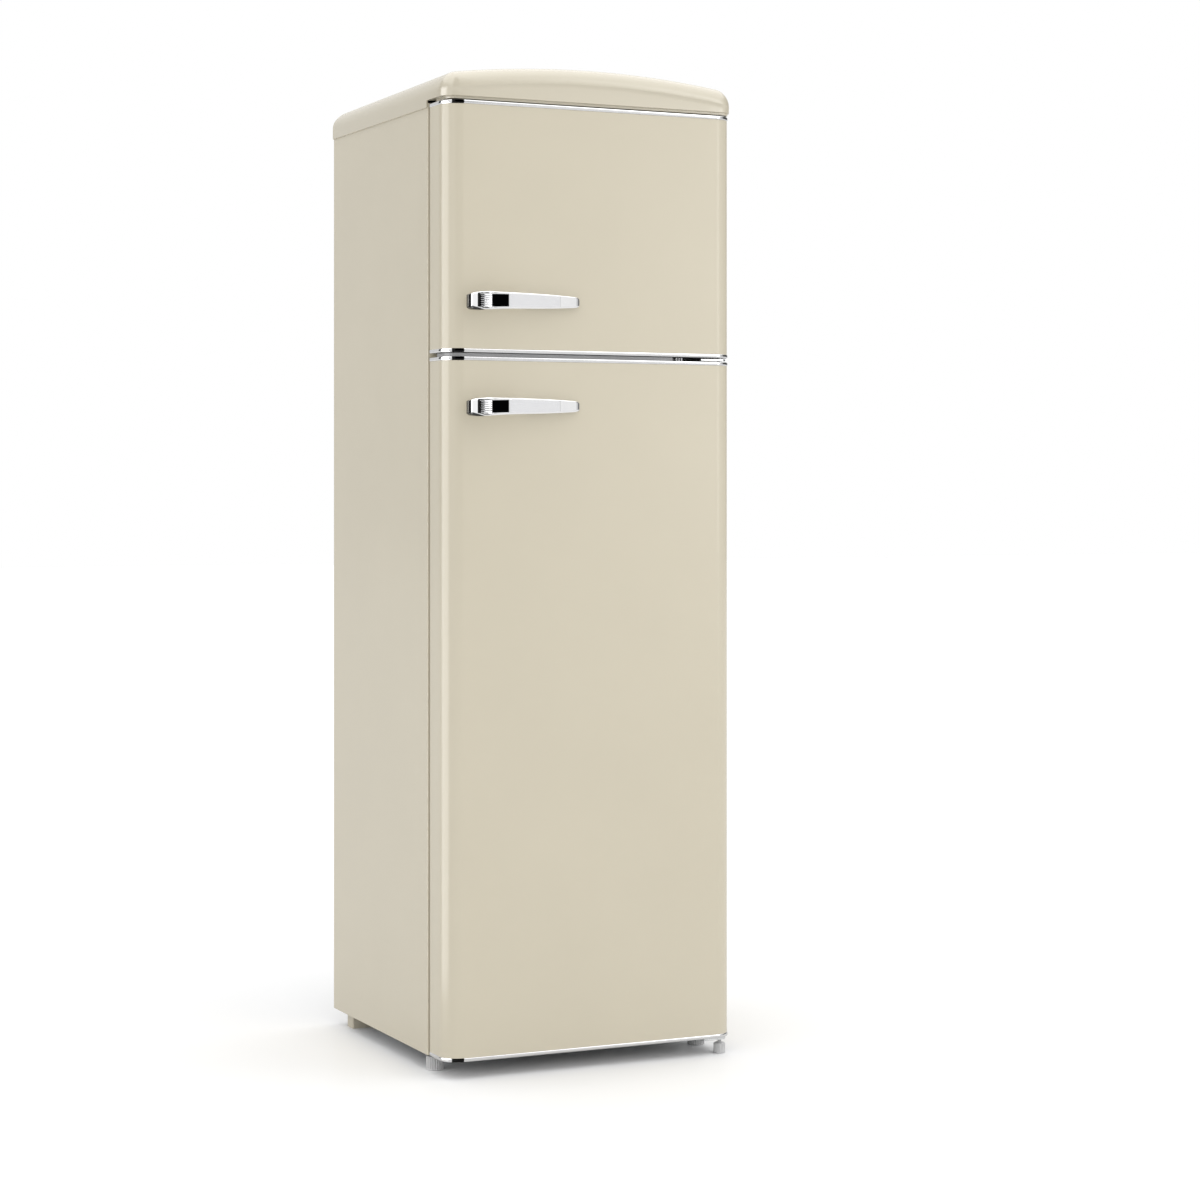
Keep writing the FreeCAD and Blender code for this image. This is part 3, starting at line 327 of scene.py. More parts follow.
class Mat:
    """A Principled material with procedural colour, roughness and relief from the object's own coordinates."""

    def __init__(self, name, **const):
        self.m = bpy.data.materials.new(name)
        self.m.use_nodes = True
        self.nt = self.m.node_tree
        self.nt.nodes.clear()
        self.out = self.node("ShaderNodeOutputMaterial")
        self.b = self.node("ShaderNodeBsdfPrincipled")
        self.link(self.b.outputs[0], self.out.inputs[0])
        self.co = self.node("ShaderNodeTexCoord").outputs["Object"]
        for k, v in const.items():
            self.b.inputs[k.replace("_", " ")].default_value = v

    def node(self, kind, **props):
        n = self.nt.nodes.new(kind)
        for k, v in props.items():
            setattr(n, k, v)
        return n

    def link(self, a, b):
        self.nt.links.new(a, b)

    def stretched(self, sx, sy, sz):
        n = self.node("ShaderNodeMapping")
        n.inputs["Scale"].default_value = (sx, sy, sz)
        self.link(self.co, n.inputs["Vector"])
        return n.outputs[0]

    def noise(self, scale, detail=3.0, rough=0.55, vec=None, distort=0.0):
        n = self.node("ShaderNodeTexNoise")
        n.inputs["Scale"].default_value = scale
        n.inputs["Detail"].default_value = detail
        n.inputs["Roughness"].default_value = rough
        n.inputs["Distortion"].default_value = distort
        self.link(vec or self.co, n.inputs["Vector"])
        return n.outputs[0]

    def cells(self, scale, feature="F1", vec=None, out="Distance"):
        n = self.node("ShaderNodeTexVoronoi", feature=feature)
        n.inputs["Scale"].default_value = scale
        self.link(vec or self.co, n.inputs["Vector"])
        return n.outputs[out]

    def span(self, value, lo, hi, a=0.3, b=0.7):
        n = self.node("ShaderNodeMapRange")
        n.inputs["From Min"].default_value, n.inputs["From Max"].default_value = a, b
        n.inputs["To Min"].default_value, n.inputs["To Max"].default_value = lo, hi
        self.link(value, n.inputs["Value"])
        return n.outputs[0]

    def mixed(self, fac, c0, c1, a=0.3, b=0.7):
        r = self.node("ShaderNodeValToRGB")
        r.color_ramp.elements[0].position, r.color_ramp.elements[1].position = a, b
        r.color_ramp.elements[0].color = (*c0, 1)
        r.color_ramp.elements[1].color = (*c1, 1)
        self.link(fac, r.inputs[0])
        return r.outputs[0]

    def colour(self, c0, c1, scale=8.0, detail=3.0, a=0.3, b=0.7, vec=None):
        self.link(self.mixed(self.noise(scale, detail, vec=vec), c0, c1, a, b), self.b.inputs["Base Color"])
        return self

    def rough(self, lo, hi, scale=20.0, detail=4.0, vec=None):
        self.link(self.span(self.noise(scale, detail, vec=vec), lo, hi), self.b.inputs["Roughness"])
        return self

    def relief(self, *layers, strength=1.0):
        """Each layer is (height output, distance in millimetres)."""
        last = None
        for h, dist in layers:
            n = self.node("ShaderNodeBump")
            n.inputs["Strength"].default_value = strength
            n.inputs["Distance"].default_value = dist * MM
            self.link(h, n.inputs["Height"])
            if last is not None:
                self.link(last, n.inputs["Normal"])
            last = n.outputs[0]
        self.link(last, self.b.inputs["Normal"])
        return self


def tint(c, k):
    return [min(1.0, x * k) for x in c]


MATS = {}

CREAM = [0.590, 0.541, 0.428]


def enamel(name, col, rough=(0.16, 0.21), grain=260.0, dist=0.004, ior=1.42, spec=0.5):
    m = Mat(name, IOR=ior, Specular_IOR_Level=spec)
    m.colour(tint(col, 0.987), tint(col, 1.010), 5.0, 4.0)
    m.rough(rough[0], rough[1], 14.0, 5.0)
    m.relief((m.noise(grain, 2.0), dist))
    return m.m


MATS["cream_paint"] = enamel("cream_paint", CREAM)
MATS["cream_cover"] = enamel("cream_cover", tint(CREAM, 0.965), (0.20, 0.25), 420.0, 0.004, 1.5, 0.85)


def plastic(name, c0, c1, rough=(0.35, 0.45), grain=900.0, dist=0.01, scale=12.0, **const):
    m = Mat(name, **const)
    m.colour(c0, c1, scale, 4.0)
    m.rough(rough[0], rough[1], 30.0, 4.0)
    m.relief((m.noise(grain, 2.0), dist))
    return m.m


MATS["beige_plastic"] = plastic("beige_plastic", tint(CREAM, 0.97), tint(CREAM, 1.02), (0.38, 0.48), 1200.0, 0.012)
MATS["white_plastic"] = plastic("white_plastic", [0.78, 0.78, 0.765], [0.83, 0.83, 0.82], (0.32, 0.42), 1100.0, 0.008)
MATS["white_liner"] = plastic("white_liner", [0.822, 0.827, 0.822], [0.836, 0.841, 0.836], (0.27, 0.31), 500.0, 0.004, 6.0)
MATS["grey_plastic"] = plastic("grey_plastic", [0.50, 0.50, 0.50], [0.58, 0.58, 0.58], (0.34, 0.46), 1400.0, 0.012)
MATS["black_plastic"] = plastic("black_plastic", [0.018, 0.018, 0.019], [0.030, 0.030, 0.031], (0.42, 0.56), 1500.0, 0.02)
MATS["rubber_black"] = plastic("rubber_black", [0.014, 0.014, 0.014], [0.030, 0.029, 0.028], (0.66, 0.80), 700.0, 0.03, 60.0)
MATS["gasket_grey"] = plastic("gasket_grey", [0.42, 0.415, 0.40], [0.50, 0.495, 0.475], (0.55, 0.66), 800.0, 0.015, 25.0)
MATS["black_gloss"] = plastic("black_gloss", [0.004, 0.004, 0.0045], [0.008, 0.008, 0.009], (0.05, 0.11), 350.0, 0.002)
MATS["black_satin"] = plastic("black_satin", [0.0010, 0.0010, 0.0011], [0.0018, 0.0018, 0.0019], (0.42, 0.52), 350.0, 0.002, Specular_IOR_Level=0.0)
MATS["rib_grey"] = plastic("rib_grey", [0.33, 0.33, 0.335], [0.37, 0.37, 0.375], (0.40, 0.50), 900.0, 0.01)
MATS["grey_paint"] = plastic("grey_paint", [0.205, 0.205, 0.205], [0.235, 0.235, 0.235], (0.34, 0.42), 450.0, 0.006)


def metal(name, c0, c1, rough, scale=30.0, dist=0.0, grain=200.0, vec=None, **const):
    m = Mat(name, Metallic=1.0, **const)
    v = m.stretched(*vec) if vec else None
    m.colour(c0, c1, scale, 4.0, vec=v)
    m.rough(rough[0], rough[1], scale * 1.7, 5.0, vec=v)
    if dist:
        m.relief((m.noise(grain, 3.0, vec=v), dist))
    return m.m


MATS["chrome"] = metal("chrome", [0.89, 0.89, 0.895], [0.93, 0.93, 0.93], (0.035, 0.075), 45.0, 0.0008, 260.0)
MATS["satin_chrome"] = metal("satin_chrome", [0.76, 0.76, 0.775], [0.80, 0.80, 0.81], (0.12, 0.17), 60.0, 0.001, 900.0, (1, 1, 14))
MATS["inlay_chrome"] = metal("inlay_chrome", [0.79, 0.79, 0.805], [0.82, 0.82, 0.83], (0.05, 0.08), 60.0, 0.0008, 300.0, (1, 1, 8))
MATS["zinc_plate"] = metal("zinc_plate", [0.62, 0.63, 0.64], [0.74, 0.75, 0.75], (0.24, 0.38), 55.0, 0.004, 420.0)
MATS["screw_steel"] = metal("screw_steel", [0.60, 0.60, 0.61], [0.72, 0.72, 0.73], (0.22, 0.36), 160.0, 0.004, 900.0)
MATS["aluminium"] = metal("aluminium", [0.72, 0.73, 0.74], [0.80, 0.81, 0.82], (0.30, 0.42), 30.0, 0.004, 300.0, (1, 1, 12))


def lever_chrome_painted_dark(name, zc):
    """Bright plating with a painted dark reflection over the lever's cheek and along the underside of its head. zc is
    the lever's height in millimetres.
    """
    m = Mat(name, Metallic=1.0)
    # painted dark reflection: the base colour goes near black over the cheek at the head's left end and along the
    # underside of the head
    sep = m.node("ShaderNodeSeparateXYZ")
    m.link(m.co, sep.inputs[0])
    along = m.span(sep.outputs[0], 0.0, 1.0, -0.24630, -0.24360)
    below = m.node("ShaderNodeMath", operation="SUBTRACT")
    below.inputs[1].default_value = zc * MM
    m.link(sep.outputs[2], below.inputs[0])
    slope = m.node("ShaderNodeMath", operation="MULTIPLY_ADD")
    slope.inputs[1].default_value = 0.30
    slope.inputs[2].default_value = 0.30 * 0.2460
    m.link(sep.outputs[0], slope.inputs[0])
    depth = m.node("ShaderNodeMath", operation="ADD")
    m.link(below.outputs[0], depth.inputs[0])
    m.link(slope.outputs[0], depth.inputs[1])
    underside_painted_dark = m.span(depth.outputs[0], 0.0, 1.0, -0.0112, -0.0100)
    both = m.node("ShaderNodeMath", operation="MINIMUM")
    m.link(along, both.inputs[0])
    m.link(underside_painted_dark, both.inputs[1])
    cloud = m.mixed(m.noise(45.0, 4.0), [0.83, 0.83, 0.835], [0.87, 0.87, 0.87])
    mix = m.node("ShaderNodeMix", data_type="RGBA")
    m.link(both.outputs[0], mix.inputs[0])
    # near-black colour of the painted dark reflection
    mix.inputs[6].default_value = (0.055, 0.055, 0.054, 1.0)
    m.link(cloud, mix.inputs[7])
    m.link(mix.outputs[2], m.b.inputs["Base Color"])
    m.rough(0.035, 0.07, 76.0, 5.0)
    m.relief((m.noise(260.0, 3.0), 0.0008))
    return m.m


def trim_chrome_painted_reflection():
    """Bright moulding with one length painted near black, a painted dark reflection, where it turns the doors' left
    front corner.
    """
    m = Mat("trim_chrome_painted_reflection", Metallic=1.0)
    sep = m.node("ShaderNodeSeparateXYZ")
    m.link(m.co, sep.inputs[0])
    # painted dark reflection: near-black base colour between x -263 and -243.6 mm, where the moulding rounds the doors'
    # left front corner
    left = m.span(sep.outputs[0], 0.0, 1.0, -0.26350, -0.26290)
    right = m.span(sep.outputs[0], 1.0, 0.0, -0.24360, -0.24290)
    dark = m.node("ShaderNodeMath", operation="MINIMUM")
    m.link(left, dark.inputs[0])
    m.link(right, dark.inputs[1])
    mix = m.node("ShaderNodeMix", data_type="RGBA")
    m.link(dark.outputs[0], mix.inputs[0])
    m.link(m.mixed(m.noise(45.0, 4.0), [0.69, 0.69, 0.695], [0.73, 0.73, 0.73]), mix.inputs[6])
    # near-black colour of the painted dark reflection
    mix.inputs[7].default_value = (0.014, 0.014, 0.014, 1.0)
    m.link(mix.outputs[2], m.b.inputs["Base Color"])
    m.rough(0.05, 0.09, 76.0, 5.0)
    m.relief((m.noise(260.0, 3.0), 0.0008))
    return m.m


MATS["trim_chrome_painted_reflection"] = trim_chrome_painted_reflection()


def galvanised():
    m = Mat("galvanised_steel", Metallic=0.9)
    cell = m.cells(75.0, "F1", out="Color")
    sep = m.node("ShaderNodeSeparateColor")
    m.link(cell, sep.inputs[0])
    base = m.mixed(sep.outputs[0], [0.44, 0.455, 0.47], [0.60, 0.615, 0.63], 0.0, 1.0)
    m.link(base, m.b.inputs["Base Color"])
    m.link(m.span(sep.outputs[1], 0.32, 0.50, 0.0, 1.0), m.b.inputs["Roughness"])
    m.relief((m.cells(75.0, "DISTANCE_TO_EDGE"), 0.006), (m.noise(300.0, 3.0), 0.006))
    return m.m


MATS["galvanised_steel"] = galvanised()


def black_enamel(name, orange=0.012):
    m = Mat(name)
    dust = m.noise(24.0, 6.0, 0.65)
    m.link(m.mixed(dust, [0.012, 0.012, 0.0125], [0.026, 0.026, 0.026], 0.35, 0.75), m.b.inputs["Base Color"])
    m.rough(0.20, 0.36, 26.0, 5.0)
    m.relief((m.noise(330.0, 2.0), orange))
    return m.m


MATS["black_enamel"] = black_enamel("black_enamel")
MATS["compressor_iron"] = black_enamel("compressor_iron", 0.02)


def copper():
    m = Mat("copper", Metallic=1.0)
    patina = m.noise(38.0, 6.0, 0.6)
    m.link(m.mixed(patina, [0.55, 0.235, 0.12], [0.80, 0.42, 0.27], 0.32, 0.66), m.b.inputs["Base Color"])
    m.link(m.span(patina, 0.42, 0.20), m.b.inputs["Roughness"])
    m.relief((m.noise(600.0, 3.0), 0.006))
    return m.m


MATS["copper"] = copper()


def foam():
    m = Mat("foam", Roughness=0.85)
    m.colour([0.66, 0.53, 0.27], [0.78, 0.66, 0.38], 40.0, 6.0)
    m.relief((m.cells(420.0, "F1"), 0.25), (m.noise(60.0, 5.0), 0.4))
    return m.m


MATS["foam"] = foam()
MATS["white_wire"] = plastic("white_wire", [0.79, 0.79, 0.78], [0.84, 0.84, 0.835], (0.26, 0.36), 900.0, 0.012, 60.0)


def clear(name, col, rough, ior, trans=1.0, scale=40.0, dist=0.0015):
    m = Mat(name, IOR=ior)
    m.b.inputs["Transmission Weight"].default_value = trans
    m.colour(tint(col, 0.985), tint(col, 1.0), scale)
    m.rough(rough[0], rough[1], 70.0)
    m.relief((m.noise(120.0, 2.0), dist))
    return m.m


MATS["shelf_glass"] = clear("shelf_glass", [0.90, 0.97, 0.94], (0.0, 0.02), 1.5)
MATS["clear_plastic"] = clear("clear_plastic", [0.90, 0.95, 0.97], (0.05, 0.11), 1.45, 0.94)
MATS["lens_plastic"] = clear("lens_plastic", [0.96, 0.96, 0.95], (0.28, 0.36), 1.45, 0.85)

SLOT_OF = {}
for part in frame["record"]["subparts"] if "subparts" in frame["record"] else []:
    SLOT_OF[part["node"]] = part.get("material_slot")


# ------------------------------------------------------------------ cabinet
def side_panel():
    r = 1.6
    p = [(CAB_HW - SHEET - 13.0, Y_REAR), (CAB_HW - r - 1.5, Y_REAR)]
    p += arc(CAB_HW - r, Y_REAR - r, r, 90, 0, 5)
    p += [(CAB_HW, Y_REAR - r - 1.5), (CAB_HW, Y_FRONT + r + 1.5)]
    p += arc(CAB_HW - r, Y_FRONT + r, r, 0, -90, 5)
    p += [(CAB_HW - r - 1.5, Y_FRONT), (LIP, Y_FRONT)]
    p.reverse()
    return sheet(p, SHEET, Z_BASE, Z_TOP, 0.25)


piece("side_panel_right_sheet", side_panel(), "cabinet", MATS["cream_paint"], ["side_panel_right"])
piece("side_panel_left_sheet", mirror(side_panel()), "cabinet", MATS["cream_paint"], ["side_panel_left"])


def cover():
    """Barrel-topped moulding: an upright skirt, a crease along the front, a full roll above it, and a crown that falls to the rear."""
    rf, rs, rb = 29.5, 29.0, 28.0
    n, straight = 12, 16
    y_front, y_rear = -263.0, Y_COVER_REAR

    def dome(px, py, off):
        fall = COVER_FALL * (py - y_front) / (y_rear - y_front)
        return Z_CROWN - 0.06 - COVER_R + math.sqrt((COVER_R - off) ** 2 - px * px) - fall

    def outline(fi, si, bi):
        """Front run left to right, the two side points, rear run right to left, the two side points, moved in by fi, si and bi."""
        x = COVER_HW - si
        y0, y1 = y_front + fi, y_rear - bi
        cf = max(28.0 - max(fi, si), 3.0)
        cb = max(4.0 - max(bi, si), 0.6)
        front = arc(-x + cf, y0 + cf, cf, 180, 270, n)
        front += [(-(x - cf) + 2 * (x - cf) * i / straight, y0) for i in range(1, straight)]
        front += arc(x - cf, y0 + cf, cf, 270, 360, n)
        back = arc(x - cb, y1 - cb, cb, 0, 90, n)
        back += [((x - cb) - 2 * (x - cb) * i / straight, y1) for i in range(1, straight)]
        back += arc(-x + cb, y1 - cb, cb, 90, 180, n)
        return front + [(x, Y_FRONT), (x, Y_FRONT + 0.05)] + back + [(-x, Y_FRONT + 0.05), (-x, Y_FRONT)]

    m = 2 * n + straight + 1
    total = 2 * m + 4

    def share(j):
        """Rounding radius at a point of the plan, and how much of the front's crease it has."""
        if j < m:
            a = min(j, m - 1 - j) / n
            if a >= 1:
                return rf, 1.0
            return rs + (rf - rs) * (3 * a * a - 2 * a * a * a), max(0.0, min(1.0, (a - 0.25) / 0.6))
        if j < m + 2 or j >= total - 2:
            return rs, 0.0
        return rb, 0.0

    def shell(off):
        rings = []
        # how far the skirt lies behind the roll, and how far below the crease
        for inset, below in ((2.0, None), (2.0, 9.0), (1.82, 6.2), (1.38, 3.7), (0.72, 1.7), (0.16, 0.45)):
            out = []
            plan = outline(off, off, off)
            back_in = outline(off + inset, off, off)
            for j, (px, py) in enumerate(plan):
                r, g = share(j)
                qx, qy = back_in[j]
                px, py = px + (qx - px) * (1.0 if j < m else 0.0), py + (qy - py) * (1.0 if j < m else 0.0)
                if below is None:
                    z = Z_COVER_FRONT if py <= Y_FRONT + 1e-6 else Z_SKIRT
                else:
                    z = dome(px, py, off) - (r - off) - 0.9 * below
                out.append((px, py, z))
            rings.append(out)
        steps = 14
        for i in range(steps + 1):
            t = math.radians(90 * i / steps)
            k, h = 1 - math.cos(t), 1 - math.sin(t)
            plan = outline(off + (rf - off) * k, off + (rs - off) * k, off + (rb - off) * k)
            rings.append([(px, py, dome(px, py, off) - (share(j)[0] - off) * h) for j, (px, py) in enumerate(plan)])
        return rings

    s = Shape()
    verts, faces = [], []

    def walls(rings, flip, off):
        base = len(verts)
        for r in rings:
            verts.extend(r)
        for i in range(len(rings) - 1):
            for j in range(total):
                k = (j + 1) % total
                q = (base + i * total + j, base + i * total + k, base + (i + 1) * total + k, base + (i + 1) * total + j)
                faces.append(tuple(reversed(q)) if flip else q)
        # crown: front run to two middle rows to the rear run
        top = rings[-1]
        bt = base + (len(rings) - 1) * total
        rows = [[bt + j for j in range(m)]]
        for k, y in enumerate((Y_FRONT, Y_FRONT + 0.05)):
            row = [bt + total - 1 - k]
            for j in range(1, m - 1):
                px = top[j][0]
                verts.append((px, y, dome(px, y, off)))
                row.append(len(verts) - 1)
            row.append(bt + m + k)
            rows.append(row)
        rows.append([bt + m + 2 + (m - 1 - j) for j in range(m)])
        for a, b in zip(rows, rows[1:]):
            for j in range(m - 1):
                q = (a[j], a[j + 1], b[j + 1], b[j])
                faces.append(tuple(reversed(q)) if flip else q)
        return base

    b0 = walls(shell(0.0), False, 0.0)
    b1 = walls(shell(2.4), True, 2.4)
    for j in range(total):
        k = (j + 1) % total
        faces.append((b0 + k, b0 + j, b1 + j, b1 + k))
    s.add((verts, faces))
    # floor of the part that stands over the doors, with a drip lip along it
    x, y, r = COVER_HW - 0.6, -260.8, 26.6
    floor = [(-px, py) for px, py in reversed(arc(x - r, y + r, r, 270, 360, 8))]
    floor += arc(x - r, y + r, r, 270, 360, 8) + [(x, Y_FRONT), (-x, Y_FRONT)]
    s.add(prism(floor, Z_COVER_FRONT + 0.02, Z_COVER_FRONT + 2.4))
    lip = [(-268.5, -200.0), (-268.5, -238.0)] + arc(-249.5, -238.0, 19.0, 180, 270, 10)[1:] + [(-150.0, -257.0), (0.0, -257.0), (150.0, -257.0)]
    lip += arc(HX, HY, 14.5, 270, 360, 8) + [(HX + 14.5, -200.0)]
    s.add(sheet(lip, 2.6, 1674.3, Z_COVER_FRONT + 1.0, 0.5))
    return s


piece("top_cover_moulding", cover(), "cabinet", MATS["cream_cover"], ["top_cover"], smooth=40, weighted=False)


def leg():
    s = Shape()
    o = rrect(204.0, 262.0, 238.5, 268.5, 3.0, 5)
    i = rrect(211.0, 255.0, 245.5, 261.5, 2.0, 5)
    rings = [put3(i, 11.0, "z"), put3(i, 0.6, "z"), put3(offset(i, -0.6), 0.0, "z"), put3(offset(o, 0.8), 0.0, "z"),
             put3(offset(o, 0.2), 0.25, "z"), put3(o, 1.0, "z"), put3(o, 27.8, "z"), put3(offset(o, 0.3), 28.6, "z"), put3(offset(o, 1.0), 28.95, "z")]
    s.add(loft(rings))
    for x in (222.0, 233.0, 244.0):
        s.add(rbox(x - 1.0, x + 1.0, 245.0, 262.0, 0.4, 11.5, 0.3, 2))
    return s


def both(make):
    s = make()
    s.add(mirror((s.v, s.f)))
    return s


piece("rear_leg_blocks", both(leg), "cabinet", MATS["beige_plastic"], ["rear_legs"], smooth=35)


# ------------------------------------------------------------------ doors
def u_path(off, y_end, extra=1.2, n=22):
    """The door's outline seen from above, from the rear left edge round the front to the rear right edge, off outside the skin."""
    x, y, r = CAB_HW + off, Y_DOOR - off, CORNER + off
    p = [(-x, y_end), (-x, y + r + extra)]
    p += arc(-x + r, y + r, r, 180, 270, n)
    p += [(-x + r + extra, y), (-100.0, y), (0.0, y), (100.0, y), (x - r - extra, y)]
    p += arc(x - r, y + r, r, 270, 360, n)
    p += [(x, y + r + extra), (x, y_end)]
    return p


def skin(z0, z1):
    r = 1.4
    back = XI - 13.0
    p = [(-back, Y_BACK), (-(CAB_HW - r) + 0.8, Y_BACK)] + arc(-CAB_HW + r, Y_BACK - r, r, 90, 180, 5)
    p += u_path(0.0, Y_BACK - r - 1.0)
    p += arc(CAB_HW - r, Y_BACK - r, r, 0, 90, 5) + [(CAB_HW - r - 0.8, Y_BACK), (back, Y_BACK)]
    return sheet(p, SHEET, z0 + TRIM_H, z1 - TRIM_H, 0.2)


def trim(z0):
    """A domed chrome moulding that laps round the front and both sides."""
    half = TRIM_H / 2
    sec = [(-TRIM_IN, 0.1)]
    for i in range(17):
        t = -1 + 2 * i / 16
        sec.append((0.05 + (PROUD - 0.05) * (1 - abs(t) ** 2.6) ** 0.55, half + half * t))
    sec.append((-TRIM_IN, TRIM_H - 0.1))
    base = u_path(0.0, Y_BACK - 2.0, 2.0, 26)
    p = np.array(base, float)
    d = np.diff(p, axis=0)
    d /= np.linalg.norm(d, axis=1, keepdims=True)
    nrm = np.stack([d[:, 1], -d[:, 0]], 1)
    m = np.vstack([nrm[:1], nrm[:-1] + nrm[1:], nrm[-1:]])
    m /= np.linalg.norm(m, axis=1, keepdims=True)
    m = -m if (m[0] @ np.array([-1.0, 0.0])) < 0 else m
    rings = []
    for q, w in zip(p, m):
        rings.append([(q[0] + w[0] * o, q[1] + w[1] * o, z0 + z) for o, z in sec])
    # the two ends are closed with a small rounding
    c0 = np.mean(np.array(rings[0]), axis=0)
    c1 = np.mean(np.array(rings[-1]), axis=0)

    def shrink(ring, c, k, dy):
        return [tuple(c + (np.array(a) - c) * k + np.array([0, dy, 0])) for a in ring]

    rings = [shrink(rings[0], c0, 0.7, 0.25)] + rings + [shrink(rings[-1], c1, 0.7, 0.25)]
    return loft(rings)


def gasket(z0, z1):
    """A magnetic seal with a bellows, welded at its four corners."""
    sec = [(2.0, 0.0), (14.0, 0.0), (14.0, 1.2), (12.2, 1.8), (12.0, 2.4), (14.6, 3.2), (15.7, 4.0), (15.7, 4.7), (14.4, 5.4), (12.8, 5.9),
           (13.0, 6.4), (15.4, 6.9), (16.0, 7.5), (16.0, 8.9), (15.5, 9.4), (11.5, 9.5), (10.5, 9.2), (5.5, 9.2), (4.5, 9.5),
           (0.5, 9.4), (0.0, 8.9), (0.0, 7.5), (0.6, 6.9), (3.0, 6.4), (3.2, 5.9), (1.6, 5.4), (0.3, 4.7), (0.3, 4.0), (1.4, 3.2), (4.0, 2.4), (3.8, 1.8), (2.0, 1.2)]
    rings = []
    for u, v in sec:
        x = 246.0 + u
        rings.append(put3(rrect(-x, x, z0 + 28.0 - u, z1 - 28.0 + u, 3.0 + u * 5 / 16, 6), Y_BACK + v, "y"))
    return loft(rings, closed=True)


def liner(z0, z1, cav, balconies):
    """Vacuum-formed inner panel: flat border, a raised ridge that plugs into the compartment, and a recessed middle."""
    za, zb = cav[0] + 12.0, cav[1] - 12.0
    edge = XI - 13.0
    rh = 215.0

    def ring(hw, grow, r, y):
        """grow is not used; the top and bottom move with the sides anyway."""
        g = hw - rh
        return put3(rrect(-hw, hw, za - g, zb + g, r, 8), y, "y")

    yb = Y_BACK
    ea, eb = z0 + 4.4, z1 - 4.4
    rings = [put3(rrect(-edge, edge, ea, eb, 2.0, 8), yb - 1.2, "y"), put3(rrect(-edge, edge, ea, eb, 2.0, 8), yb - 0.15, "y"),
             put3(rrect(-edge + 0.2, edge - 0.2, ea + 0.2, eb - 0.2, 2.0, 8), yb, "y")]
    rings.append(ring(rh + 5.0, 0, 20.0, yb))
    for i in range(1, 6):
        t = math.radians(90 * i / 5)
        rings.append(ring(rh + 4.0 * (1 - math.sin(t)), 0, 17.0, yb + 4.0 * (1 - math.cos(t))))
    for i in range(0, 8):
        t = math.radians(90 * i / 7)
        rings.append(ring(rh - 0.6 - 6.0 * (1 - math.cos(t)), 0, 16.0 - 4 * i / 7, -146.5 - 6.0 * (1 - math.sin(t))))
    inner = rh - 22.0
    for i in range(0, 8):
        t = math.radians(90 * i / 7)
        rings.append(ring(inner + 6.4 - 6.0 * math.sin(t), 0, 12.0 - 2 * i / 7, -146.5 - 6.0 * (1 - math.cos(t))))
    for i in range(0, 6):
        t = math.radians(90 * i / 5)
        rings.append(ring(inner - 0.2 - 5.0 * (1 - math.cos(t)), 0, 9.0, yb + 5.0 * (1 - math.sin(t))))
    rings.append(ring(inner - 11.0, 0, 9.0, yb))
    rings.append(ring(inner - 12.5, 0, 8.5, yb + 0.5))
    rings.append(ring(inner - 13.5, 0, 8.0, yb + 1.2))
    rings.append(ring(inner - 14.6, 0, 7.5, yb + 1.5))
    s = Shape().add(loft(rings))
    for bz, bh in balconies:
        for sgn in (-1, 1):
            x0, x1 = sorted((sgn * 184.2, sgn * 194.2))
            s.add(rbox(x0, x1, -182.0, -160.0, bz - 12.0, bz - 0.1, 2.0, 3))
    return s


def trough(zb, h, hw, y0, y1, draft, back_cut, wall=2.5, corner=10.0, bands=True, rim=1.0):
    """A door balcony or drawer: a thin tub with a rounded bottom edge, a thicker rim and a lower rear wall."""

    def outline(inset, z, ring_inset=0.0):
        d = draft * (z - zb) / h
        x, ya, yb = hw - inset, y0 + inset, y1 - draft + d - inset
        rf, rb = max(corner - inset, 1.5), max(3.0 - inset, 0.8)
        p = arc(-x + rb, ya + rb, rb, 180, 270, 6)
        xs = [-hw + 30, -back_cut - 8, -back_cut - 4, -back_cut, -back_cut + 4, -back_cut + 8, -60, 0, 60] if back_cut else [-60, 0, 60]
        if back_cut:
            xs += [back_cut - 8, back_cut - 4, back_cut, back_cut + 4, back_cut + 8, hw - 30]
        p += [(a, ya) for a in xs]
        p += arc(x - rb, ya + rb, rb, 270, 360, 6) + arc(x - rf, yb - rf, rf, 0, 90, 8)
        p += [(a, yb) for a in (60, 0, -60)] + arc(-x + rf, yb - rf, rf, 90, 180, 8)
        return p

    top = zb + h

    def lower(px, py):
        if not back_cut or py > y0 + wall + 2.0:
            return 0.0
        t = min(1.0, max(0.0, (back_cut + 8 - abs(px)) / 16.0))
        return h * 0.42 * t * t * (3 - 2 * t)

    def level(inset, z, follow=0.0):
        return [(px, py, z - lower(px, py) * follow) for px, py in outline(inset, z)]

    rings = []
    for i in range(5):
        t = math.radians(90 * i / 4)
        rings.append(level(4.0 * (1 - math.sin(t)), zb + 4.0 * (1 - math.cos(t))))
    if bands:
        for k in range(3):
            z = zb + h * (0.30 + 0.13 * k)
            rings += [level(0.0, z), level(0.55, z + 0.9), level(0.55, z + 2.4), level(0.0, z + 3.3)]
    rings += [level(0.0, top - 6.0 - 0.6, 1.0)]
    rings += [level(0.0, top - 0.8, 1.0), level(0.25, top - 0.25, 1.0), level(0.8, top, 1.0)]
    w = wall + rim
    rings += [level(w - 0.6, top, 1.0), level(w, top - 0.5, 1.0), level(w, top - 4.6, 1.0), level(wall, top - 6.0, 1.0)]
    rings += [level(wall, zb + wall + 4.0)]
    for i in range(1, 5):
        t = math.radians(90 * i / 4)
        rings.append(level(wall + 4.0 * (1 - math.cos(t)), zb + wall + 4.0 * (1 - math.sin(t))))
    return loft(rings)


BALCONIES = {"fridge": [(690.0, 62.0), (960.0, 62.0)], "freezer": [(1322.0, 62.0), (1462.0, 62.0)]}
BOTTLE = (330.0, 84.0)

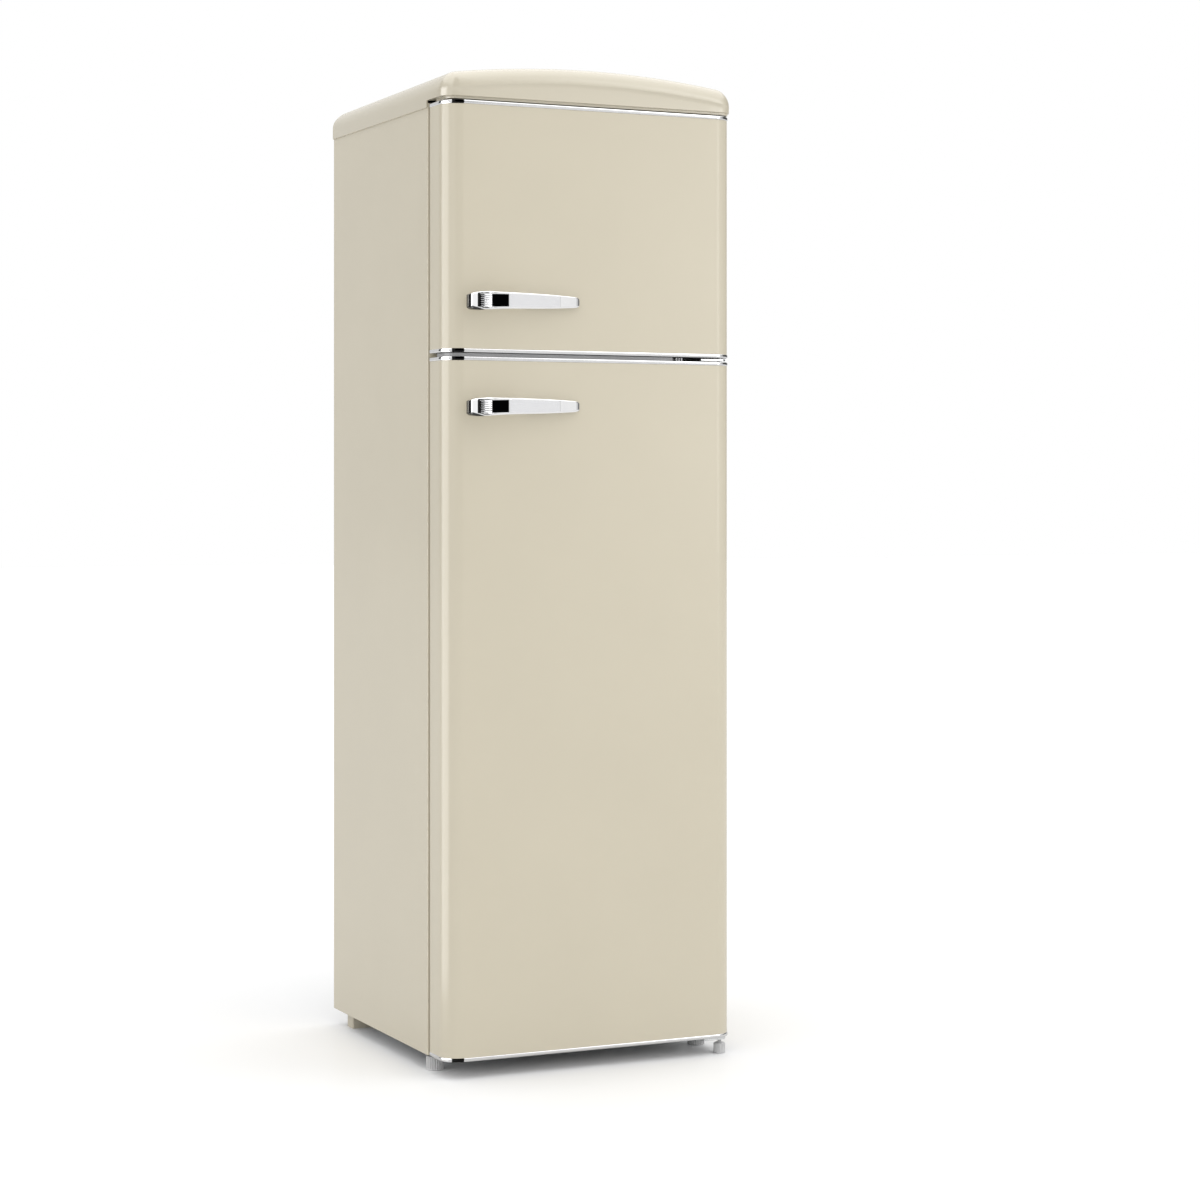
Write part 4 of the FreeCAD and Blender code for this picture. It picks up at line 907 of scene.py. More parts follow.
for kind, (z0, z1) in DOORS.items():
    body = kind + "_door"
    piece(body + "_panel", skin(z0, z1), body, MATS["cream_paint"], [body + "_skin"], smooth=30)
    s = Shape().add(trim(z0)).add(trim(z1 - TRIM_H))
    piece(body + "_chrome_mouldings", s, body, MATS["trim_chrome_painted_reflection"], [body + "_trims"], smooth=50)
    piece(body + "_seal", gasket(z0, z1), body, MATS["gasket_grey"], [body + "_gasket"], smooth=40)
    bal = BALCONIES[kind] + ([BOTTLE] if kind == "fridge" else [])
    piece(body + "_inner_panel", liner(z0, z1, CAVITY[kind], bal), body, MATS["white_liner"], [body + "_liner"], smooth=40)
    s = Shape()
    for zb, h in BALCONIES[kind]:
        s.add(trough(zb, h, 192.5, -180.0, -95.0, 6.0, 150.0))
    piece(body + "_shelves", s, body, MATS["clear_plastic"], [body + "_balconies"], smooth=40)
piece("bottle_shelf", trough(BOTTLE[0], BOTTLE[1], 192.5, -180.0, -95.0, 6.0, 150.0), "fridge_door", MATS["clear_plastic"],
      ["bottle_balcony"], smooth=40)


# ------------------------------------------------------------------ handles
def curve(x, table):
    xs, ys = [a for a, _ in table], [b for _, b in table]
    return float(np.interp(x, xs, ys))


OUT = [(-246.2, 19.6), (-246.15, 22.0), (-246.0, 25.0), (-245.8, 28.5), (-245.5, 32.0), (-245.1, 35.4), (-244.7, 37.4), (-244.2, 38.4), (-243.4, 39.1),
       (-241.6, 40.2), (-238.0, 42.4), (-235.4, 43.9), (-234.2, 44.3), (-232.0, 44.45), (-225.0, 44.78), (-221.0, 44.74), (-214.0, 44.56), (-208.0, 43.7),
       (-202.0, 42.0), (-190.0, 38.9), (-174.0, 35.7), (-160.0, 33.0), (-130.0, 27.8),
       (-100.0, 22.5), (-70.0, 17.3), (-50.0, 13.7), (-38.0, 11.4), (-32.5, 9.7), (-29.0, 7.2), (-27.4, 4.0), (-27.0, 1.5)]
INNER = [(-246.2, 18.9), (-246.0, 18.6), (-245.0, 18.4), (-243.0, 18.4), (-240.0, 20.4), (-236.0, 23.4), (-231.0, 27.4), (-226.0, 30.0), (-219.0, 31.4),
         (-210.0, 31.2), (-196.0, 29.8), (-180.0, 27.2), (-165.0, 24.4), (-152.0, 20.8), (-143.0, 16.8), (-136.5, 12.0), (-132.0, 6.5), (-129.0, 1.6),
         (-127.5, 0.0), (-27.0, 0.0)]
HALF = [(-246.2, 10.6), (-246.0, 11.0), (-245.0, 12.0), (-243.4, 13.2), (-240.0, 14.6), (-236.0, 15.4), (-232.0, 15.8), (-226.0, 16.0), (-215.0, 15.9),
        (-204.0, 15.6), (-190.0, 15.1), (-160.0, 14.3), (-130.0, 13.7), (-110.0, 13.2), (-90.0, 12.6), (-60.0, 11.2), (-45.0, 10.4), (-38.0, 9.8),
        (-33.0, 8.7), (-29.6, 6.5), (-27.8, 3.8), (-27.0, 2.0)]
# how far the lever's middle lies above or below its own height
MIDDLE = [(-246.2, -2.6), (-236.0, -2.3), (-222.0, -1.7), (-204.0, -1.0), (-180.0, -0.2), (-150.0, 0.4), (-100.0, 0.9), (-60.0, 1.3), (-27.0, 1.5)]
# half height of the recess in the front face; its depth, 0.9 mm, is set in lever()
RECESS = [(-172.0, 12.2), (-110.0, 11.0), (-70.5, 9.9)]
PAD = (-232.6, -174.5, 10.75)


def smooth_curve(x, table):
    """Monotone cubic through a table, so the outline has no kinks."""
    xs = np.array([a for a, _ in table])
    ys = np.array([b for _, b in table])
    i = int(np.clip(np.searchsorted(xs, x) - 1, 0, len(xs) - 2))
    h = xs[i + 1] - xs[i]
    d = np.diff(ys) / np.diff(xs)

    def slope(k):
        if k == 0:
            return d[0]
        if k == len(xs) - 1:
            return d[-1]
        return 0.0 if d[k - 1] * d[k] <= 0 else 2 * d[k - 1] * d[k] / (d[k - 1] + d[k])
    m0, m1 = slope(i), slope(i + 1)
    t = (x - xs[i]) / h
    return float((2 * t**3 - 3 * t**2 + 1) * ys[i] + (t**3 - 2 * t**2 + t) * h * m0 + (-2 * t**3 + 3 * t**2) * ys[i + 1] + (t**3 - t**2) * h * m1)


def lever(zc):
    """The lever: a blade that rises from the door at its right tip to a rounded head. Sections in Y-Z, joined along X."""
    st = [-246.2, -246.15, -246.08, -246.0, -245.9, -245.8, -245.65, -245.5, -245.3, -245.1, -244.9, -244.7, -244.45, -244.2, -243.8, -243.4, -242.6,
          -241.6, -240.0, -238.0, -236.4, -235.4, -234.8, -234.2, -233.2, -232.65, -232.6, -230.5, -228.0, -226.0, -225.0, -224.0, -221.0,
          -218.0, -215.0, -212.0, -209.0, -206.0, -203.0, -200.0, -196.0, -190.0, -184.0, -178.0, -174.5, -174.45, -173.3, -172.1, -172.05, -168.0, -163.0,
          -158.0, -152.0, -147.0, -143.0, -139.5, -136.5, -134.0, -132.0, -130.3, -129.0, -128.0, -127.5, -120.0, -110.0, -100.0, -90.0, -82.0,
          -76.0, -70.55, -70.5, -68.0, -63.0, -57.0, -52.0, -47.0, -43.0, -40.0, -37.0, -34.6, -32.4, -30.6, -29.3, -28.3, -27.6, -27.2, -27.0]
    rings = []
    for x in st:
        do, di, h = smooth_curve(x, OUT), smooth_curve(x, INNER), smooth_curve(x, HALF)
        t = max(do - di, 0.8)
        # facets at the head, a plain rounded edge along the blade
        head = min(1.0, max(0.0, (-214.0 - x) / 20.0))
        edge_w = 3.0 + 1.2 * head
        edge_d = 2.6 + 2.8 * head
        edge_w, edge_d = min(edge_w, h * 0.45), min(edge_d, t * 0.42)
        br = min(2.4, t * 0.3, h * 0.3)
        deep, hi = 0.0, h - edge_w - 0.8
        if PAD[0] <= x <= PAD[1]:
            deep, hi = 1.5, min(PAD[2], h - edge_w - 0.5)
        elif -172.05 <= x <= -70.55:
            deep, hi = 0.9, min(curve(x, RECESS), h - edge_w - 0.2)
        hi = max(hi, 0.4)
        hf = max(h - edge_w, hi + 0.15)
        half = [(0.0, do - deep), (hi * 0.5, do - deep), (hi, do - deep), (hi + 0.02, do - deep * 0.5), (hi + 0.05, do - deep * 0.12)]
        half += [(hi + 0.1 + (hf - hi - 0.1) * 0.35, do + 0.0), (hf, do - 0.02 * edge_d)]
        # rounded shoulder from the front face to the side
        for k in range(1, 7):
            a = math.radians(90 * k / 6)
            half.append((hf + (h - hf) * math.sin(a), do - edge_d * (1 - math.cos(a))))
        half.append((h - 0.02, di + (t - edge_d) * 0.5 + 0.0))
        for k in range(0, 5):
            a = math.radians(90 * k / 4)
            half.append((h - 0.04 - br * (1 - math.cos(a)), di + br * (1 - math.sin(a))))
        half.append((h * 0.45, di))
        half.append((0.0, di))
        zm = zc + curve(x, MIDDLE)
        ring = [(x, Y_DOOR - d, zm + z) for z, d in half]
        ring += [(x, Y_DOOR - d, zm - z) for z, d in reversed(half[1:-1])]
        rings.append(ring)
    s = Shape().add(loft(rings))
    return s


def pad_plate(zc):
    """Black plate sunk in the lever behind the grip ribs, with two slivers beside the ribs."""
    s = Shape()
    xs = [-232.3, -231.6, -230.0, -228.0, -226.0, -222.0, -218.0, -214.0, -210.0, -206.0, -202.0, -196.0, -190.0, -184.0, -178.0, -174.9]
    rings = []
    for x in xs:
        d = smooth_curve(x, OUT)
        h = PAD[2] - 0.12
        sec = [(-h, d - 2.2), (h, d - 2.2), (h, d - 1.15), (h - 0.25, d - 0.9), (-h + 0.25, d - 0.9), (-h, d - 1.15)]
        rings.append([(x, Y_DOOR - dd, zc + curve(x, MIDDLE) + z) for z, dd in sec])
    s.add(loft(rings))
    for sgn in (-1, 1):
        rings = []
        for i in range(13):
            t = i / 12
            x = -228.0 + 19.0 * t
            w = 0.12 + 0.85 * math.sin(math.pi * t) ** 0.8
            zz = smooth_curve(x, HALF) - 3.3
            d = smooth_curve(x, OUT) + 0.06
            sec = [(-w, d - 1.6), (w, d - 1.6), (w, d - 0.18), (w * 0.6, d), (-w * 0.6, d), (-w, d - 0.12)]
            rings.append([(x, Y_DOOR - dd, zc + curve(x, MIDDLE) + sgn * (zz + z)) for z, dd in sec])
        s.add(loft(rings))
    return s


def grip(zc):
    """Six ribs that run along the lever over the left part of the black plate, ramped at their outer ends."""
    s = Shape()
    for k in range(6):
        z = -8.95 + 3.58 * k
        rings = []
        for x in (-232.0, -231.2, -229.6, -227.6, -225.6, -224.2, -223.4, -220.0, -216.0, -212.0, -210.2, -209.2, -208.6, -208.2):
            ramp = min(1.0, max(0.0, (x + 232.0) / 8.0))
            tip = min(1.0, max(0.0, (-208.2 - x) / 1.6))
            k2 = math.sqrt(max(0.0, 1 - (1 - tip) ** 2))
            w = (0.55 + 1.05 * ramp) * (0.25 + 0.75 * k2)
            base = smooth_curve(x, OUT) - 1.45
            top = 0.15 + (0.15 + 1.25 * ramp) * k2
            sec = [(-w, base - 0.3)] + [(w * math.copysign(abs(math.cos(math.radians(a))) ** 0.6, math.cos(math.radians(a))),
                                         base + top * math.sin(math.radians(a)) ** 0.6) for a in range(180, -1, -20)] + [(w, base - 0.3)]
            rings.append([(x, Y_DOOR - dd, zc + curve(x, MIDDLE) + z + zz) for zz, dd in sec])
        s.add(loft(rings))
    return s


def plate(zc):
    """Chrome plate laid in the long recess."""
    rings = []
    for x in [-171.6, -171.2, -170.6, -150.0, -130.0, -110.0, -90.0, -73.6, -73.0, -72.6]:
        d = smooth_curve(x, OUT)
        h = curve(x, RECESS) - 0.35
        if x in (-171.6, -72.6):
            h -= 0.7
        elif x in (-171.2, -73.0):
            h -= 0.2
        sec = [(-h, d - 1.2), (h, d - 1.2), (h, d - 0.62), (h - 0.3, d - 0.42), (-h + 0.3, d - 0.42), (-h, d - 0.62)]
        rings.append([(x, Y_DOOR - dd, zc + curve(x, MIDDLE) + z) for z, dd in sec])
    return loft(rings)


for kind, zc in (("fridge", 1148.9), ("freezer", 1329.2)):
    body = kind + "_door"
    piece(kind + "_handle_lever", lever(zc), body, lever_chrome_painted_dark("lever_chrome_painted_dark_" + kind, zc), [kind + "_handle"], smooth=42, weighted=False)
    piece(kind + "_handle_plate", pad_plate(zc), body, MATS["black_satin"], [kind + "_handle_insert"], smooth=40)
    piece(kind + "_handle_grip_ribs", grip(zc), body, MATS["satin_chrome"], smooth=50)
    piece(kind + "_handle_inlay", plate(zc), body, MATS["inlay_chrome"], smooth=40)

# a low rib along the top of the fridge door, seen in the gap between the doors, and three stop studs beside it
path = [q for q in u_path(-6.0, -205.0) if q[0] < 150.0] + [(158.0, Y_DOOR + 6.0)]
piece("fridge_door_gap_rib", sheet(path, 2.4, 1231.5, 1240.4, 0.4), "fridge_door", MATS["rib_grey"], smooth=40)
s = Shape()
for x in (166.0, 171.0, 176.0):
    s.add(lathe([(0.01, 0.0), (1.9, 0.0), (1.9, 5.2), (1.5, 5.6), (1.5, 6.2), (1.9, 6.6), (1.9, 8.2), (1.4, 8.8), (0.01, 8.9)], 20, (x, Y_DOOR + 8.0, 1231.5)))
piece("fridge_door_stop_studs", s, "fridge_door", MATS["screw_steel"], smooth=40)


# ------------------------------------------------------------------ hinges and feet
def arm(x_left, y_back, z0, z1, e=0.5):
    """Flat hinge arm: wide at the cabinet, rounded about the axis, with eased edges."""
    r, xr = 10.5, 268.5
    o = [(x_left, y_back), (x_left, Y_FRONT - 6.0), (x_left + 26.0, HY - r)]
    o += arc(HX, HY, r, -90, 0, 10) + [(xr, y_back)]
    o = [tuple(q) for q in o]
    return prism(o, z0, z1, e, "z", 3)


def flange():
    s = Shape()
    o = rrect(190.0, 268.5, 1225.3, 1249.8, 2.0, 5)
    s.add(prism(o, Y_FRONT - 2.5, Y_FRONT, 0.6, "y", 3, e1=0.0))
    # fillet where the arm leaves the flange
    for z, sgn in ((1235.8, -1), (1239.3, 1)):
        pts = [(190.6, 0), (268.0, 0)]
        ring = []
        for x, _ in pts:
            sec = [(Y_FRONT - 2.5, z), (Y_FRONT - 5.0, z), (Y_FRONT - 4.1, z + sgn * 0.35), (Y_FRONT - 3.3, z + sgn * 0.9), (Y_FRONT - 2.8, z + sgn * 1.6), (Y_FRONT - 2.5, z + sgn * 2.5)]
            ring.append([(x, y, zz) for y, zz in sec])
        s.add(loft(ring))
    return s


s = flange()
s.add(arm(190.0, Y_FRONT, 1235.8, 1239.3))
piece("middle_hinge_arm", s, "cabinet", MATS["chrome"], ["middle_hinge_bracket"], smooth=40)
piece("top_hinge_arm", arm(196.0, -112.0, Z_TOP, Z_TOP + 3.0), "cabinet", MATS["zinc_plate"], ["top_hinge_plate"], smooth=40)
piece("bottom_hinge_arm", arm(196.0, -112.0, Z_BASE - 4.0, Z_BASE), "cabinet", MATS["zinc_plate"], ["bottom_hinge_bracket"], smooth=40)


def fluted(r, h, n, depth, stem_r, stem_top, cone=None):
    """A moulded adjuster: plain base, fluted wheel with eased top and bottom, smooth crown and a threaded stem."""
    def rad(rr, t, a):
        lo, hi = 1.6, h - 0.9
        k = min(1.0, max(0.0, (t - lo) / 1.2)) * min(1.0, max(0.0, (hi - t) / 1.0))
        w = 0.5 + 0.5 * math.cos(n * a)
        return rr - depth * k * (1 - w ** 0.55)
    prof = [(r - 2.2, 0.0), (r - 0.9, 0.05), (r - 0.25, 0.45), (r, 1.1), (r, 1.7), (r, 2.3), (r, 2.9), (r, 4.0)]
    m = 5
    prof += [(r, 4.0 + (h - 7.2) * i / m) for i in range(1, m + 1)]
    prof += [(r - 0.03, h - 2.4), (r - 0.1, h - 1.7), (r - 0.3, h - 1.1), (r - 0.75, h - 0.5), (r - 1.4, h - 0.12), (r - 2.2, h)]
    if cone:
        prof += [(cone + 1.2, h), (cone, h + 0.15), (stem_r + 0.3, h + 2.4)]
    else:
        prof += [(stem_r + 3.4, h), (stem_r + 3.0, h - 0.6), (stem_r + 0.6, h - 0.7)]
    t = h + (2.6 if cone else -0.4)
    prof.append((stem_r - 0.05, t))
    while t < stem_top - 1.6:
        prof += [(stem_r, t + 0.25), (stem_r, t + 0.45), (stem_r - 0.35, t + 0.8), (stem_r - 0.35, t + 0.95)]
        t += 1.2
    prof += [(stem_r - 0.3, stem_top - 0.4), (stem_r - 0.9, stem_top)]
    return prof, rad


for name, x, y, args in (("front_foot_left", -254.5, -157.5, (15.5, 24.0, 22, 1.35, 4.0, 44.6)),
                         ("front_foot_right", 254.5, -157.5, (15.5, 24.0, 22, 1.35, 4.0, 44.6)),
                         ("hinge_foot", HX, HY, (10.5, 18.5, 16, 1.15, 3.0, 36.6, 4.6))):
    prof, rad = fluted(*args)
    piece(name + "_wheel", lathe(prof, 22 * 12 if args[2] == 22 else 16 * 12, (x, y, 0.0), "z", rad), name, MATS["grey_plastic"],
          [name], smooth=60, weighted=False)


# ------------------------------------------------------------------ compressor compartment and back
CX, CY = 120.0, 214.0


def pot():
    s = Shape()
    prof = [(20.0, 46.0), (48.0, 46.05), (55.0, 48.0)]
    prof += [(46.0 + 24.0 * math.cos(math.radians(a)), 70.0 + 24.0 * math.sin(math.radians(a))) for a in range(-60, 1, 12)]
    prof += [(70.0, 90.0), (70.0, 114.0), (70.6, 116.6), (72.0, 117.1), (73.4, 117.2), (73.95, 117.7), (74.0, 119.6), (73.6, 120.0), (74.0, 120.4),
             (74.0, 122.3), (73.4, 122.9), (70.0, 123.0), (68.6, 123.6), (68.0, 125.0), (68.0, 150.0)]
    prof += [(38.0 + 30.0 * math.cos(math.radians(a)), 156.0 + 30.0 * math.sin(math.radians(a))) for a in range(0, 85, 8)]
    prof += [(30.0, 186.0), (12.0, 186.0), (0.0, 186.0)]
    s.add(lathe(prof, 96, (CX, CY, 0.0)))
    # foot plate with turned-up edge and pressed ribs
    o = rrect(CX - 84, CX + 84, CY - 64, CY + 64, 12.0, 8)
    s.add(prism(o, 41.0, 44.0, 0.8, "z", 3))
    for sx in (-1, 1):
        x0, x1 = sorted((CX + sx * 40, CX + sx * 60))
        s.add(rbox(x0, x1, CY - 54, CY + 54, 43.0, 47.0, 1.8, 4))
    s.add(lathe([(44.0, 43.0), (43.0, 45.0), (40.0, 46.0), (40.0, 50.0)], 48, (CX, CY, 0.0)))
    return s


piece("compressor_pot", pot(), "cabinet", MATS["compressor_iron"], ["compressor"], smooth=38)

s = Shape()
for x in (CX - 72, CX + 72):
    for y in (CY - 52, CY + 52):
        s.add(lathe([(3.1, 31.05), (8.4, 31.05), (9.0, 31.6), (9.0, 34.2), (8.2, 34.9), (8.2, 35.5), (9.0, 36.2), (9.0, 40.2), (8.5, 40.9), (5.4, 41.0), (5.0, 41.3),
                     (5.0, 43.8), (5.3, 44.05), (7.6, 44.05), (8.0, 44.5), (8.0, 48.9), (7.4, 49.9), (3.1, 50.0)], 40, (x, y, 0.0)))
piece("compressor_grommets", s, "cabinet", MATS["rubber_black"], ["compressor_mounts"], smooth=38)


def terminal():
    s = Shape()
    # box against the round pot: the outline seen from above follows the pot on its right side
    r = 70.5
    o = []
    for i in range(13):
        a = math.radians(180 + 28.5 - 57.0 * i / 12)
        o.append((CX + r * math.cos(a), CY + r * math.sin(a)))
    o = [(CX - 104.0 + 5, CY - 34.0)] + [(o[0][0], CY - 34.0)] + o + [(o[-1][0], CY + 34.0)] + arc(CX - 99.0, CY + 29.0, 5.0, 90, 180, 6) + arc(CX - 99.0, CY - 29.0, 5.0, 180, 270, 6)[:-1]
    s.add(prism(o, 66.0, 112.0, 2.2, "z", 4))
    # gland with strain relief rings, one screw boss and a rib pattern
    s.add(lathe([(8.0, -10.0), (8.0, -1.0), (7.2, 0.0), (6.6, 0.2), (6.6, 1.2), (7.4, 1.6), (7.4, 2.6), (6.4, 3.0), (6.4, 4.2), (7.0, 4.6), (7.0, 5.4), (5.6, 6.0), (3.7, 6.0), (3.6, -9.0)][::-1],
                32, (CX - 105.9, CY + 12.0, 88.0), "x", None))
    s.add(lathe([(4.4, 0.0), (4.2, 1.6), (3.2, 2.2), (0.01, 2.2)], 24, (CX - 103.8, CY - 16.0, 96.0), "x"))
    for z in (74.0, 79.0, 84.0):
        s.add(rbox(CX - 104.7, CX - 103.0, CY - 28.0, CY - 4.0, z - 0.8, z + 0.8, 0.5, 2))
    return s


s = terminal()
piece("terminal_box", s, "cabinet", MATS["black_plastic"], ["terminal_cover"], smooth=38)


def tray():
    o = rrect(CX - 66, CX + 66, 160.0, 272.0, 10.0, 8)
    rings = []
    for i in range(5):
        t = math.radians(90 * i / 4)
        rings.append(put3(offset(o, 3.0 * (1 - math.sin(t))), 186.5 + 3.0 * (1 - math.cos(t)), "z"))
    rings += [put3(o, 215.0, "z"), put3(o, 217.4, "z"), put3(offset(o, 0.25), 217.85, "z"), put3(offset(o, 0.8), 218.0, "z"),
              put3(offset(o, 1.5), 217.9, "z"), put3(offset(o, 2.0), 217.4, "z"), put3(offset(o, 2.0), 193.0, "z")]
    for i in range(1, 5):
        t = math.radians(90 * i / 4)
        rings.append(put3(offset(o, 2.0 + 4.0 * (1 - math.cos(t))), 193.0 - 4.4 * math.sin(t), "z"))
    s = Shape().add(loft(rings))
    for k in range(4):
        y = 184.0 + 21.0 * k
        s.add(rbox(CX - 54, CX + 54, y - 0.9, y + 0.9, 188.0, 192.0, 0.6, 2))
    return s


piece("defrost_tray", tray(), "cabinet", MATS["black_plastic"], ["drip_tray"], smooth=38)
piece("filter_drier_body", lathe([(2.0, -198.0), (4.0, -197.6), (4.0, -193.2), (4.3, -192.2), (6.8, -189.6), (9.2, -187.0), (10.0, -183.5), (10.0, -181.5), (9.6, -181.0), (9.6, -180.0), (10.0, -179.5),
                                  (10.0, -101.0), (9.6, -100.5), (9.6, -99.5), (10.0, -99.0), (10.0, -96.8), (9.2, -93.2), (6.8, -90.6), (4.3, -88.0), (4.0, -87.0), (4.0, -82.4), (2.0, -82.0)],
                                 40, (0.0, 262.0, 70.0), "x"), "cabinet", MATS["copper"], ["filter_drier"], smooth=38)

CON_Y = 292.0
s = Shape()
for pts, r, b in (([(CX + 52.0, 250.0, 150.0), (CX + 120.0, 250.0, 150.0), (CX + 120.0, CON_Y, 150.0), (CX + 120.0, CON_Y, 313.0)], 2.5, 14.0),
                  ([(-240.0, CON_Y, 311.0), (-240.0, CON_Y, 70.0), (-240.0, 262.0, 70.0), (-197.0, 262.0, 70.0)], 2.5, 11.0),
                  ([(-83.0, 262.0, 70.0), (-40.0, 262.0, 70.0), (-40.0, 190.0, 70.0), (-40.0, 190.0, 239.9)], 1.5, 10.0),
                  ([(CX - 40.0, 245.0, 158.0), (CX - 110.0, 245.0, 158.0), (CX - 110.0, 245.0, 239.9)], 4.0, 16.0)):
    s.add(tube(bend(pts, b), r, 16))
# brazed collars where the pipes enter the pot and the drier
for c, ax, r in (((CX + 61.5, 250.0, 150.0), "x", 2.5), ((CX - 53.0, 245.0, 158.0), "x", 4.0)):
    s.add(lathe([(r, -3.0), (r + 1.6, -2.2), (r + 2.0, 0.0), (r + 1.2, 2.4), (r, 3.4)], 24, c, ax))
# pinched service stub
s.add(tube(bend([(CX + 30.0, 152.0, 140.0), (CX + 44.0, 140.0, 140.0), (CX + 44.0, 140.0, 168.0)], 8.0), 2.6, 14, taper=lambda t: 1.0 if t < 0.86 else 0.7))
piece("refrigerant_tubes", s, "cabinet", MATS["copper"], ["refrigerant_pipes"], smooth=50)


def condenser():
    s = Shape()
    pitch, hw, rows = 56.0, 214.0, 23
    p = [(-240.0, CON_Y, 312.0), (-240.0, CON_Y, 330.0), (-hw, CON_Y, 330.0)]
    path = [Vector(q) for q in bend(p, 9.0)]
    for k in range(rows):
        z = 330.0 + pitch * k
        d = 1 if k % 2 == 0 else -1
        path += [Vector((x, CON_Y, z)) for x in ((-hw * d) + 2 * d, 0.0, hw * d - 2 * d)]
        if k < rows - 1:
            for i in range(0, 13):
                a = math.radians(-90 + 180 * i / 12)
                path.append(Vector((hw * d + d * pitch / 2 * math.cos(a), CON_Y, z + pitch / 2 + pitch / 2 * math.sin(a))))
    top = 330.0 + pitch * (rows - 1)
    run = bend([(hw, CON_Y, top), (252.0, CON_Y, top), (252.0, CON_Y, 320.0), (CX + 120.0, CON_Y, 320.0), (CX + 120.0, CON_Y, 312.0)], 3.9)
    path += run
    clean = [path[0]]
    for q in path[1:]:
        if (q - clean[-1]).length > 0.05:
            clean.append(q)
    s.add(tube(clean, 2.5, 12))
    for k in range(31):
        x = -210.0 + 14.0 * k
        for y in (CON_Y - 3.2, CON_Y + 3.2):
            s.add(tube([(x, y, 318.0), (x, y, 330.0 + pitch * 11), (x, y, top + 12.0)], 0.75, 6))
    for bx in (-203.0, 203.0):
        for bz in (470.0, 1310.0):
            s.add(prism(rrect(bx - 12, bx + 12, bz - 14, bz + 14, 3.0, 4), 277.85, 279.5, 0.4, "y", 2, e0=0.0))
            s.add(rbox(bx - 12, bx + 12, 279.0, CON_Y - 3.9, bz - 1.5, bz + 1.5, 0.7, 2))
            s.add(rbox(bx - 12, bx + 12, CON_Y - 5.0, CON_Y - 3.6, bz - 6.0, bz + 6.0, 0.6, 2))
            s.add(lathe([(4.6, 279.3), (4.6, 280.1), (3.9, 280.9), (2.0, 281.5), (0.01, 281.6)], 24, (bx, 0.0, bz + 7.5), "y"))
    return s


piece("condenser_grid", condenser(), "cabinet", MATS["black_enamel"], ["condenser"], smooth=50)


# ------------------------------------------------------------------ interior
s = Shape()
for zt in (540.0, 760.0, 980.0):
    s.add(rbox(-224.5, 224.5, -72.0, 212.0, zt - 4.0, zt, 0.9, 3))
piece("glass_panes", s, "cabinet", MATS["shelf_glass"], ["glass_shelves"], smooth=40)
piece("crisper_lid", rbox(-224.5, 224.5, -72.0, 212.0, 296.0, 300.0, 0.9, 3), "cabinet", MATS["shelf_glass"], ["crisper_cover"], smooth=40)


def front_trim(zt):
    pts = arc(-76.5, zt - 5.5, 3.5, 180, 270, 5) + [(-66.6, zt - 9.0), (-66.0, zt - 8.4), (-66.0, zt - 4.05), (-72.0, zt - 4.05), (-72.0, zt + 0.05), (-66.0, zt + 0.05),
                                                    (-66.0, zt + 2.4), (-66.6, zt + 3.0)] + arc(-76.5, zt - 0.5, 3.5, 90, 180, 5)
    return prism(pts, -219.0, 219.0, 0.35, "x", 2)


def rear_trim(zt):
    pts = [(206.0, zt - 8.0), (217.0, zt - 8.0), (217.0, zt + 9.0), (216.2, zt + 10.0), (214.8, zt + 10.0), (214.0, zt + 9.0), (214.0, zt + 2.0), (206.0, zt + 2.0), (206.0, zt + 0.05),
           (212.0, zt + 0.05), (212.0, zt - 4.05), (206.0, zt - 4.05)]
    return prism(pts, -219.0, 219.0, 0.3, "x", 2)


s = Shape()
for zt in (540.0, 760.0, 980.0):
    s.add(front_trim(zt)).add(rear_trim(zt))
s.add(front_trim(300.0))
piece("shelf_edge_mouldings", s, "cabinet", MATS["white_plastic"], ["shelf_trims"], smooth=38)

ZF = 1450.0
s = Shape()
s.add(tube([tuple((a, b, ZF - 1.5)) for a, b in rrect(-221.7, 221.7, -81.5, 207.4, 6.0, 6)], 2.4, 14, closed=True))
s.add(tube([(-221.0, 62.0, ZF - 2.3), (0.0, 62.0, ZF - 2.3), (221.0, 62.0, ZF - 2.3)], 1.7, 12))
for k in range(23):
    x = -198.0 + 18.0 * k
    s.add(tube([(x, -82.0, ZF - 0.5), (x, 60.0, ZF - 0.5), (x, 207.8, ZF - 0.5)], 1.5, 12))
piece("freezer_wire_shelf", s, "cabinet", MATS["white_wire"], ["freezer_shelf"], smooth=50)

s = Shape().add(trough(76.6, 207.4, 214.0, -70.0, 70.0, 6.0, 0, wall=2.5, corner=9.0, bands=False, rim=0.6))
pull = [(-70.0, 283.0)] + arc(-76.5, 280.5, 2.5, 90, 180, 6) + [(-79.0, 262.0)] + arc(-78.2, 261.6, 0.8, 180, 360, 5) + [(-77.4, 262.4), (-76.9, 277.4)] + arc(-75.4, 277.6, 1.5, 180, 90, 4) + [(-70.0, 279.3)]
s.add(prism(list(reversed(pull)), -60.0, 60.0, 0.5, "x", 3))
piece("crisper_tub", s, "crisper_drawer", MATS["clear_plastic"], ["crisper_drawer"], smooth=38)

KY, KZ = -52.0, 1132.0
